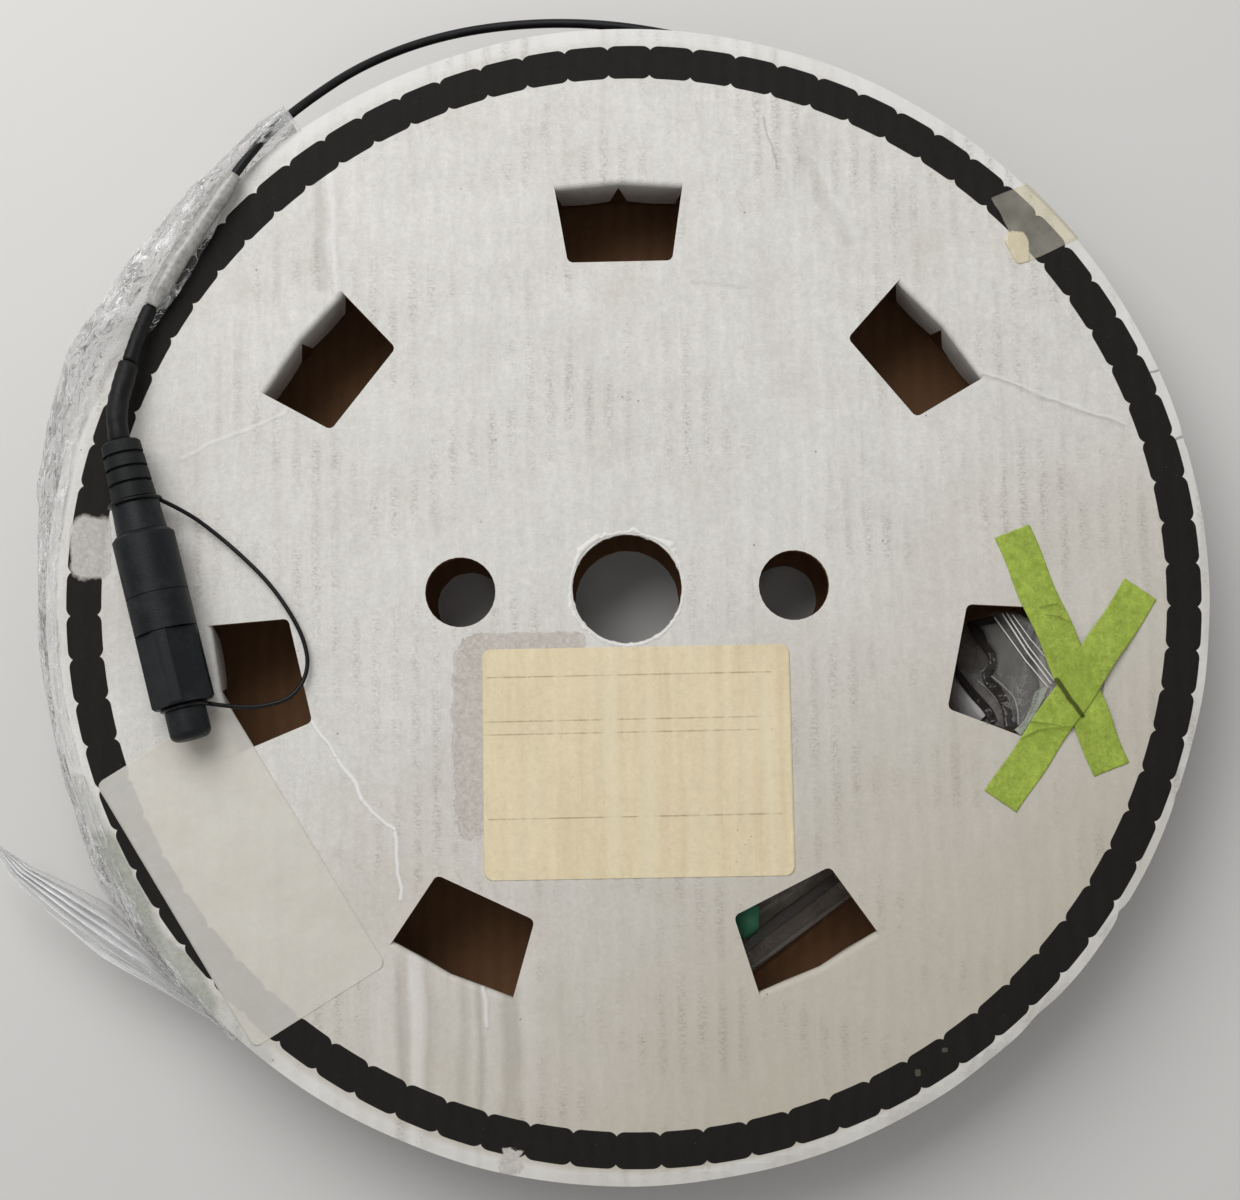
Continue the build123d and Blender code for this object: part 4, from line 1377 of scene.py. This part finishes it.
def tape_grid(centre, turn, over):
    """Grid along a strip: ragged at its ends, raised over the bag's mouth and the other strip."""
    rows, columns = 150, 26
    up, across = np.meshgrid(
        np.linspace(-0.5, 0.5, rows), np.linspace(-0.5, 0.5, columns), indexing="ij"
    )
    ragged = 0.1 * np.sin(across * 17 + 4 * over) + 0.16 * np.sin(across * 71 + over)
    local_x = across * TAPE_SIZE[0] + 0.25 * np.sin(up * 19 + over)
    local_y = up * TAPE_SIZE[1] + ragged * np.abs(up) ** 6 * 34
    x, y = turned(centre, turn, local_x, local_y)
    reach, off, _ = by_line(x, y, *MOUTH_LINE)
    raised = 1.3 * np.exp(-((np.abs(off) / 18) ** 4)) / (1 + np.exp((np.abs(reach - 11) - 22) * 0.7))
    wrinkle = 0
    for start, end, height, width in TAPE_FOLDS[over]:
        along, beside, length = by_line(x, y, start, end)
        past = np.abs(along - length / 2) - length / 2
        wrinkle = wrinkle + height * np.exp(-((beside / width) ** 2)) / (1 + np.exp(past * 2.5))
    before, beside, _ = by_line(x, y, *ZIP_END)
    raised += 0.7 * np.exp(-((beside / 1.1) ** 2)) / (1 + np.exp((np.abs(before - 7) - 8) * 2))
    crossing = 0
    if over:
        other, other_turn = TAPES["tape_strip_under"]
        away = np.abs((x - other[0]) * math.cos(other_turn) + (y - other[1]) * math.sin(other_turn))
        crossing = 0.22 / (1 + np.exp((away - 7.2) * 2.2))
    return np.stack([x, y, TOP + 0.16 + 0.12 * over + raised + crossing + wrinkle], axis=-1)


def tape_finish(name, darker_line, folds_here):
    """Lime paper tape: fine fibres and wrinkles, darker where the strip under it shows through, with
    painted shade along its folds and at the zip's end.
    """
    made, tree, shader, coords = new_finish(name, (0.33, 0.45, 0.06), 0.6, Specular_IOR_Level=0.25)
    color, grain_height = grain_and_flute_shade(tree, coords, (0.375, 0.485, 0.075), 1.3, 0.02)
    folds = cloud_noise(tree, coords, 150, 5, distortion=1.2)
    color = laid_over(tree, color, (0.24, 0.35, 0.03, 1), remap(tree, folds, 0.52, 0.68, 0.55))
    if darker_line:
        below = crease(tree, coords, *darker_line, TAPE_SIZE[0] / 2, 0.0)
        seen = calc(tree, "GREATER_THAN", below, 0.001)
        color = laid_over(tree, color, (0.25, 0.36, 0.04, 1), times(tree, seen, 0.3))
    # Painted shade along each fold
    for start, end, _, width in folds_here:
        painted_crease = crease(tree, coords, start, end, width * 1.1, 0.002)
        color = laid_over(tree, color, (0.16, 0.22, 0.02, 1), remap(tree, painted_crease, 0.1, 0.8, 0.6))
    # Painted shade along the slit at the zip's end, seen through the tape
    zip_slit_shade = crease(tree, coords, *ZIP_END, 1.25, 0.002)
    color = laid_over(tree, color, (0.06, 0.065, 0.008, 1), remap(tree, zip_slit_shade, 0.1, 0.6, 0.92))
    height = plus(tree, times(tree, grain_height, 0.4), folds)
    surfaced(tree, shader, color, bumped(tree, height, 0.00035, 0.7))
    return made


under_centre, under_turn = TAPES["tape_strip_under"]
under_line = [turned(under_centre, under_turn, 0, reach) for reach in (-41.7, 41.7)]
for number, (node, line) in enumerate((("tape_strip_under", None), ("tape_strip_over", under_line))):
    finish = tape_finish(node + "_finish", line, TAPE_FOLDS[number])
    strip = thin_sheet("green_" + node, tape_grid(*TAPES[node], number), TAPE_T, finish)
    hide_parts(node)
    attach(strip, "reel")

# Rim tape: one piece of aged clear tape, stuck on the flange's face and folded down over the rim.
RIM_TAPE_TURNS = (44.4, 36.8)
RIM_TAPE_DROP = 8.0
RIM_TAPE_COLUMNS = 24
# Its inner edge: share of the way across, x, y
RIM_TAPE_INNER = (
    (0, 124.3, 128.6), (0.3, 129.5, 118.2), (0.5, 128.3, 112.7), (0.72, 132.3, 105.5), (1, 139.8, 108.1)
)

aged_finish, tree, shader, coords = new_finish("aged_tape_finish", (0.5, 0.46, 0.36), 0.32)
stain = cloud_noise(tree, coords, 120, 5)
color = two_tones(tree, stain, 0.35, (0.93, 0.91, 0.79), 0.68, (1.0, 0.97, 0.86))
cloud = remap(tree, stain, 0.3, 0.7, 0.2, 0.12)
# The corner inside the ring has gone cream and nearly opaque
old, old_rim = torn_patch(tree, coords, (129.2, 108.4), (7.4, 9.0), 0.3, 0.1)
cover = plus(tree, cloud, times(tree, old, 0.6))
color = laid_over(tree, color, (0.93, 0.84, 0.62, 1), old)
color = laid_over(tree, color, (0.12, 0.09, 0.05, 1), times(tree, old_rim, 0.5))
normal = noise_bump(tree, coords, 160, 0.0006)
thin_film(tree, shader, cover, color, 0.08, 0.06, 0.25, normal, (0.98, 0.965, 0.92, 1))
shares = np.linspace(0, 1, RIM_TAPE_COLUMNS)
angles = [
    math.radians(RIM_TAPE_TURNS[0]) + np.diff(np.radians(RIM_TAPE_TURNS))[0] * share for share in shares
]
grid = []
for drop in np.linspace(1, 0, 12):
    height = TOP + 0.1 - RIM_TAPE_DROP * drop
    grid.append([(*polar(FLANGE_R + 0.28, angle), height) for angle in angles])
inner_shares, *inner_axes = zip(*RIM_TAPE_INNER)
for reach in np.linspace(0, 1, 20)[1:]:
    row = []
    for share, angle in zip(shares, angles):
        rim_point = polar(FLANGE_R - 0.4, angle)
        inner_point = np.array([np.interp(share, inner_shares, axis) for axis in inner_axes])
        wavy = 0.4 * math.sin(share * 31) * reach**3
        place = rim_point + (inner_point - rim_point) * (reach + 0.03 * wavy)
        row.append((*place, TOP + 0.16 + 0.1 * abs(math.sin(share * 9 + reach * 7)) * reach))
    grid.append(row)
rim_tape = thin_sheet("aged_rim_tape", grid, SHEET_T, aged_finish)
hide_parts("rim_tape")
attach(rim_tape, "reel")

# Stretch film: clear film wound round the reel's left side. It stands off the rim in creases, laps onto
# the flange and over the marker sleeve, and its pleated end hangs loose at the lower left.
FILM_WALL = (
    (124, 9.5), (131, 7), (141, 6), (150, 7.5), (156, 10.5), (163, 9), (170, 5.5), (178, 2.1),
    (190, 1.7), (200, 1.9), (207, 3.5), (228, 1.5),
)
FILM_LAP = (
    (124, 0.5), (132, 2), (138, 9), (143, 13), (150, 12), (155, 5), (163, 3.5), (170, 4.2),
    (205, 4.8), (213, 3), (228, 0.5),
)
FILM_RISE = (
    (124, 2.5), (132, 6.5), (140, 8.6), (150, 8.8), (158, 4), (166, 1.2), (176, 0.5), (228, 0.4)
)
FILM_LOW = 4.0
FILM_STEPS = 360
FILM_WALL_ROWS = 16


def looked_up(table, value):
    """Value read between the rows of a table of pairs."""
    return float(np.interp(value, [row[0] for row in table], [row[1] for row in table]))


def on_line(points, share):
    """Place on a line of points, by the share of them that is passed."""
    knots = np.linspace(0, 1, len(points))
    return np.array([np.interp(share, knots, axis) for axis in zip(*points)])


def crumple(x, y, z, seed):
    """Sharp folds between flat facets, from -1 to 1."""
    value = noise.ridged_multi_fractal(Vector((x, y, z + seed * 7.3)), 0.9, 2.1, 4, 1.0, 2.0)
    return min(1, max(-1, value - 1))


def film_finish(name, clear, glint_streaks, along, depth, start):
    """Clear film: nearly unseen face on, white along its folds and crinkle lines as painted glints, with
    sharp reflections.
    """
    made, tree, shader, _ = new_finish(name, (0.9, 0.9, 0.9), 0.16)
    share = add(tree, "TexCoord").outputs["UV"]
    drawn = add(tree, "Mapping", {"Vector": share, "Scale": along})
    fold = cloud_noise(tree, drawn.outputs[0], 1.0, 4, 0.55, 0.9)
    # White streaks along the folds: painted glints
    fold_mask = remap(tree, fold, start, start + 0.11, glint_streaks)
    # Thin white crinkle lines: painted glints
    painted_crease = cloud_noise(tree, drawn.outputs[0], 1.7, 2, distortion=1.4)
    off_line = calc(tree, "ABSOLUTE", minus(tree, painted_crease, 0.5))
    line = remap(tree, off_line, 0.02, 0.004, 0.6)
    facing = add(tree, "LayerWeight", {"Blend": 0.3})
    edge = times(tree, calc(tree, "POWER", facing.outputs["Facing"], 2.0), 0.34)
    normal = bumped(tree, minus(tree, fold, off_line), depth, 0.8)
    parts_of_cover = plus(tree, plus(tree, fold_mask, edge), line)
    cover = calc(tree, "MINIMUM", plus(tree, parts_of_cover, clear), 0.95)
    thin_film(tree, shader, cover, (1, 1, 1, 1), 0.12, 0.1, 0.12, normal)
    return made


rows = []
for angle in np.linspace(FILM_WALL[0][0], FILM_WALL[-1][0], FILM_STEPS):
    out, lap, rise = (looked_up(table, angle) for table in (FILM_WALL, FILM_LAP, FILM_RISE))
    wall = [
        (FLANGE_R + out * min(1, 0.5 + height), FILM_LOW + (TOP - 1 - FILM_LOW) * height)
        for height in np.linspace(0, 1, FILM_WALL_ROWS)
    ]
    over = []
    for share in np.linspace(0.06, 1, 16):
        swell = math.sin(math.pi * min(1, 0.25 + share) * 0.75) ** 0.7 * (
            1 - 0.55 * share**3 * (rise > 2)
        )
        over.append((FLANGE_R + out - (out + lap) * share, TOP - 1 + (1.45 + rise) * swell))
    row = []
    for index, (radius, height) in enumerate(wall + over):
        on_wall = index < FILM_WALL_ROWS
        fold = crumple(angle * 0.085, index * 0.05, 0, 1)
        fine = crumple(angle * 0.3, index * 0.12, 3, 2)
        push = (2.1 * fold + 0.35 * fine) * min(1, out / 4) * (1 if on_wall else 0.45)
        lift = 0 if on_wall else (0.7 * fold + 0.25 * fine) * min(1, 0.3 + out / 6)
        row.append((*polar(radius + push, math.radians(angle)), max(FILM_LOW - 1, height + abs(lift))))
    rows.append(row)
wall_finish = film_finish("film_finish", 0.04, 0.3, (7, 22, 1), 0.0012, 0.5)
film = thin_sheet("stretch_film_wall", rows, SHEET_T, wall_finish)
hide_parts("stretch_film")
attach(film, "reel")

FILM_TAIL_LOW = (
    (-213.5, -80.0), (-206.4, -89.6), (-193.6, -101.4), (-175.7, -116.0), (-157.7, -126.8),
    (-143.4, -135.9), (-130.5, -143.5),
)
FILM_TAIL_HIGH = (
    (-211.5, -79.5), (-200.1, -86.7), (-185.0, -93.7), (-173.2, -100.2), (-165.1, -108.3),
    (-156.0, -121.0), (-146.5, -127.5),
)
rows = []
for share in np.linspace(0, 1, 120):
    start, end = on_line(FILM_TAIL_LOW, share), on_line(FILM_TAIL_HIGH, share)
    depth = 0.5 + 1.9 * math.sin(math.pi * min(1, share * 1.2))
    row = []
    for across in np.linspace(0, 1, 44):
        place = start + (end - start) * across
        pleat = math.sin(across * 34 + 2.2 * math.sin(share * 4)) * depth
        height = 21 + 6 * share + 2.5 * math.sin(share * 5) + pleat + 1.2 * crumple(
            share * 3, across * 2, 0, 5
        )
        row.append((*place, height))
    rows.append(row)
end_finish = film_finish("film_end_finish", 0.06, 0.93, (11, 1.2, 1), 0.0004, 0.41)
film_tail = thin_sheet("stretch_film_end", rows, SHEET_T, end_finish)
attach(film_tail, "reel")

# Parts bag: a clear zip bag of small parts that lies crumpled in the core. Its mouth is drawn out
# through the right window, bent over the window's edge and held there by the green tape.
BAG_PLAN = ((30.0, -74.0), (78.0, -20.0), (120.0, -13.0), (126.0, -50.0), (75.0, -102.5), (34.0, -132.5))
BAG_LOW = 3.4
BAG_HIGH = 17.2
BAG_T = 0.1
BAG_RISING = 39
FOLD_T = 0.2
MOUTH_TURN = math.radians(-13.5)
MOUTH_PATH = ((104.0, 12.0), (108.0, 14.0), (131.5, 43.9), (134.5, 44.32), (158.0, 44.32))
MOUTH_TOP = (
    (0, 13.0), (11.6, 14.2), (14.7, 16.1), (27.0, 20.3), (35.0, 20.3), (39.0, 18.6), (50.0, 17.0),
    (69.0, 10.0),
)
MOUTH_BOTTOM = ((0, -18.5), (46.0, -18.8), (56.0, -16.0), (69.0, -10.0))
ZIP_LINES = (
    ((25.4, 18.0), (51.4, -2.8), 0.38),
    ((28.5, 19.4), (52.1, -1.4), 0.5),
    ((30.4, 19.6), (52.9, -0.2), 0.42),
    ((33.0, 19.2), (48.4, 6.9), 0.3),
)


def bag_film(name, tint, clear, folds):
    """Crumpled bag film: grey over the dark core, paler along its folds."""
    made, tree, shader, coords = new_finish(name, tint, 0.2)
    fold = cloud_noise(tree, coords, 65, 6, 0.6, 1.6)
    fold_mask = remap(tree, fold, 0.5, 0.68, folds)
    edge = times(tree, add(tree, "LayerWeight", {"Blend": 0.4}).outputs["Facing"], 0.2)
    cover = plus(tree, plus(tree, fold_mask, edge), clear)
    cover = calc(tree, "MINIMUM", cover, 0.95)
    thin_film(tree, shader, cover, (*tint, 1), 0.2, 0.08, 0.2, bumped(tree, fold, 0.004, 0.7))
    return made


def bag_reach(angle, centre):
    """How far the bag's plan reaches from its centre at an angle."""
    ahead = (math.cos(angle), math.sin(angle))
    best = 80.0
    for a, b in zip(BAG_PLAN, BAG_PLAN[1:] + BAG_PLAN[:1]):
        wall = (b[0] - a[0], b[1] - a[1])
        start = (a[0] - centre[0], a[1] - centre[1])
        cross = ahead[0] * wall[1] - ahead[1] * wall[0]
        if abs(cross) > 1e-9:
            reach = (start[0] * wall[1] - start[1] * wall[0]) / cross
            share = (start[0] * ahead[1] - start[1] * ahead[0]) / cross
            if reach > 0 and -1e-9 <= share <= 1 + 1e-9:
                best = min(best, reach)
    return best


def bag_height(x, y, share):
    fold = 2.2 * crumple(x * 0.04, y * 0.04, 0, 9) + 0.7 * crumple(x * 0.13, y * 0.13, 2, 4)
    return min(
        BAG_HIGH, BAG_LOW + 0.8 + (BAG_HIGH - BAG_LOW - 3 + fold) * math.sqrt(max(0, 1 - share**2.2))
    )


centre = np.mean(BAG_PLAN, axis=0)
around = 180
angles = [2 * math.pi * index / around for index in range(around)]
reaches = [bag_reach(angle, centre) for angle in angles]
shares = [*np.linspace(0, 1, BAG_RISING + 1)[1:], *np.linspace(1, 0, 8)[1:-1]]
vertices = []
for step, share in enumerate(shares):
    for angle, reach in zip(angles, reaches):
        x, y = centre[0] + math.cos(angle) * reach * share, centre[1] + math.sin(angle) * reach * share
        vertices.append((x, y, bag_height(x, y, share) if step < BAG_RISING else BAG_LOW))
faces = net(len(shares), around, False, True, flip=True)
vertices += [(*centre, bag_height(*centre, 0)), (*centre, BAG_LOW)]
last = (len(shares) - 1) * around
for index in range(around):
    after = (index + 1) % around
    faces += [(len(vertices) - 2, index, after), (len(vertices) - 1, last + after, last + index)]
shell_finish = bag_film("bag_finish", (0.66, 0.6, 0.54), 0.5, 0.25)
bag = new_piece("parts_bag_shell", vertices, faces, shell_finish)
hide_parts("parts_bag")


mouth_reach = np.concatenate(
    [[0], np.cumsum([math.dist(a, b) for a, b in zip(MOUTH_PATH, MOUTH_PATH[1:])])]
)


def on_mouth(along, across, lift):
    """Point on the bag's mouth: along it from its inner end, across it, and above its film."""
    radius, height = (float(np.interp(along, mouth_reach, axis)) for axis in zip(*MOUTH_PATH))
    return (*turned((0, 0), MOUTH_TURN, radius, across), height + lift)


layers_of_mouth = []
for layer in (0, 1):
    rows = []
    for along in np.linspace(0, mouth_reach[-1], 60):
        free = min(1, max(0, (38 - along) / 10))
        row = []
        for across in np.linspace(looked_up(MOUTH_BOTTOM, along), looked_up(MOUTH_TOP, along), 44):
            fold = 1.3 * crumple(along * 0.05, across * 0.07, layer, 6)
            fold += 0.5 * crumple(along * 0.17, across * 0.2, layer, 8)
            lift = (fold - 1.2 - 1.6 * layer) * free - 0.05 * layer
            row.append(on_mouth(along, across * (1 - 0.05 * layer), lift))
        rows.append(row)
    mouth_finish = bag_film(f"bag_mouth_finish_{layer}", (0.5, 0.48, 0.455), 0.07, 0.16)
    layers_of_mouth.append(thin_sheet(f"bag_mouth_film_{layer}", rows, BAG_T, mouth_finish))


def fold_finish(name, color, cover, gloss, scale, depth):
    """Film that is folded double or seen edge on, or a painted sheen along a fold, as one tone."""
    made, tree, shader, coords = new_finish(name, color, 0.3)
    normal = noise_bump(tree, coords, scale, depth)
    thin_film(tree, shader, cover, (*color, 1), 0.1, gloss, 0.25, normal)
    return made


band_finish = fold_finish("dark_fold_finish", (0.035, 0.03, 0.027), 0.72, 0.05, 130, 0.002)
# Pale fold lines on the bag's mouth: painted sheen
sheen_finish = fold_finish("pale_fold_finish", (0.6, 0.59, 0.56), 0.3, 0.1, 300, 0.001)
panel_finish = fold_finish("inner_panel_finish", (0.5, 0.48, 0.45), 0.14, 0.08, 250, 0.001)
milky_finish = fold_finish("milky_edge_finish", (0.75, 0.8, 0.66), 0.36, 0.08, 250, 0.001)
soft_fold_finish = fold_finish("soft_fold_finish", (0.1, 0.09, 0.08), 0.45, 0.06, 130, 0.001)
paper_white = plain_finish("packed_paper_finish", (0.62, 0.6, 0.59), 0.7, 700, 0.0002)
green_part = plain_finish("green_part_finish", (0.13, 0.5, 0.3), 0.45, 500, 0.0002)
zip_finish = plain_finish("zip_finish", (0.72, 0.73, 0.7), 0.3, 900, 0.0001)


def ribbon(name, line, widths, thickness, material):
    """Narrow sheet along a line of points, level across; its width runs through the numbers given."""
    line = np.array(line, float)
    ahead = np.gradient(line, axis=0)[:, :2]
    side = np.column_stack(
        [-ahead[:, 1], ahead[:, 0], np.zeros(len(line))]
    ) / np.linalg.norm(ahead, axis=1)[:, None]
    width = np.interp(
        np.linspace(0, 1, len(line)), np.linspace(0, 1, np.size(widths)), np.atleast_1d(widths)
    )
    shares = np.linspace(-0.5, 0.5, 5)
    rows = [
        [at + share * wide * beside for share in shares] for at, beside, wide in zip(line, side, width)
    ]
    return thin_sheet(name, rows, thickness, material)


def curved(points, count):
    """Smooth line through points, by the share of them that is passed."""
    line = on_line(points, np.linspace(0, 1, count)).T
    for _ in range(count // 3):
        line[1:-1] = (line[:-2] + 2 * line[1:-1] + line[2:]) / 4
    return line


def mouth_ribbon(name, line, widths, lift, material):
    """Ribbon along points given on the bag's mouth."""
    places = [on_mouth(*place, lift) for place in line]
    return ribbon(name, curved(places, 60), widths, FOLD_T, material)


WAVY_FOLD = (
    (16.8, 15.8), (19.6, 11.9), (23.5, 8.7), (27.7, 5.9), (29.6, 3.3), (29.4, 0.6), (26.1, -1.7),
    (28.4, -3.9), (33.3, -6.1), (37.9, -9.1), (40.1, -12.9), (42.2, -17.9),
)
PANEL_LEFT = (
    (22.1, 14.1), (26.0, 9.8), (30.4, 6.4), (32.0, 1.5), (31.0, -1.5), (35.5, -4.2), (39.8, -7.0),
    (43.0, -12.0), (44.5, -17.5),
)
PANEL_RIGHT = (
    (27.5, 17.0), (31.5, 13.2), (35.5, 10.0), (39.5, 6.8), (43.5, 3.6), (47.0, 0.6), (49.5, -3.5),
    (48.0, -10.0), (46.3, -16.0),
)
panel_rows = [
    [on_mouth(*(left + (right - left) * share), 0.5) for share in np.linspace(0, 1, 6)]
    for left, right in zip(curved(PANEL_LEFT, 40), curved(PANEL_RIGHT, 40))
]
contents = [
    thin_sheet("inner_panel", panel_rows, BAG_T, panel_finish),
    mouth_ribbon(
        "wavy_dark_fold",
        WAVY_FOLD,
        (4.6, 4.2, 3.0, 2.9, 3.3, 3.0, 2.6, 3.4, 3.8, 4.4, 4.6, 4.8),
        0.9,
        band_finish,
    ),
    mouth_ribbon(
        "upper_dark_fold", ((14.6, 14.6), (20.0, 15.9), (27.2, 17.4)), (1.8, 2.4, 2.6), 1.1, band_finish
    ),
    mouth_ribbon(
        "lower_dark_fold",
        ((12.0, 0.5), (14.1, -1.6), (19.2, -5.7), (24.5, -9.3), (30.5, -12.9), (34.3, -16.8)),
        (2.0, 2.8, 3.0),
        0.9,
        band_finish,
    ),
    mouth_ribbon(
        "pale_fold_line_upper",
        ((19.4, 9.9), (23.8, 7.3), (26.6, 5.1), (27.9, 3.2), (26.8, 0.7), (24.1, -0.8)),
        0.45,
        1.4,
        sheen_finish,
    ),
    mouth_ribbon(
        "pale_fold_line_lower",
        ((29.2, -1.8), (33.6, -3.8), (36.6, -5.5), (40.5, -7.8), (43.0, -11.9), (43.9, -16.6)),
        0.5,
        1.4,
        sheen_finish,
    ),
    mouth_ribbon(
        "pale_fold_line_middle",
        ((24.0, -3.9), (29.0, -6.2), (32.6, -8.6), (34.3, -10.1)),
        0.45,
        1.4,
        sheen_finish,
    ),
    mouth_ribbon(
        "milky_edge",
        ((51.2, -2.4), (49.0, -5.4), (48.2, -10.1), (46.6, -15.1), (44.4, -19.0)),
        (0.6, 3.6, 2.6, 1.9, 2.6),
        0.35,
        milky_finish,
    ),
    thin_sheet(
        "packed_paper",
        [
            [on_mouth(12.0, -2.8, 1.0), on_mouth(10.0, -20.0, 1.0)],
            [on_mouth(30.6, -14.6, 1.2), on_mouth(28.2, -16.9, 1.2)],
        ],
        FOLD_T,
        paper_white,
    ),
    thin_sheet(
        "green_part",
        [[(33.5, -104.5, 15.5), (42.0, -104.9, 16.0)], [(34.0, -115.2, 14.5), (41.6, -115.4, 14.9)]],
        3.0,
        green_part,
    ),
]
for name, line, widths, finish in (
    (
        "bag_dark_fold",
        ((33.0, -121.5), (36.0, -119.5), (45.6, -111.4), (54.2, -105.9), (64.5, -98.5), (71.0, -94.0)),
        (3.0, 4.2, 3.4),
        soft_fold_finish,
    ),
    ("bag_pale_edge", ((39.0, -125.2), (55.6, -113.6), (73.5, -101.5)), (1.0, 1.6, 1.0), panel_finish),
    ("bag_pale_fold", ((42.0, -107.0), (52.0, -101.0), (60.0, -95.0)), (1.2, 2.4, 1.0), panel_finish),
):
    lifted = [(x, y, BAG_HIGH + 0.3) for x, y in line]
    contents.append(ribbon(name, curved(lifted, 50), widths, FOLD_T, finish))
for number, (start, end, width) in enumerate(ZIP_LINES):
    line = []
    for share in np.linspace(0, 1, 40):
        along, across = (start[axis] + (end[axis] - start[axis]) * share for axis in (0, 1))
        line.append(on_mouth(along, across, 1.7 - 0.95 * share))
    contents.append(ribbon(f"zip_ridge_{number}", line, width, 0.25, zip_finish))
for piece in (bag, *layers_of_mouth, *contents):
    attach(piece, "reel")
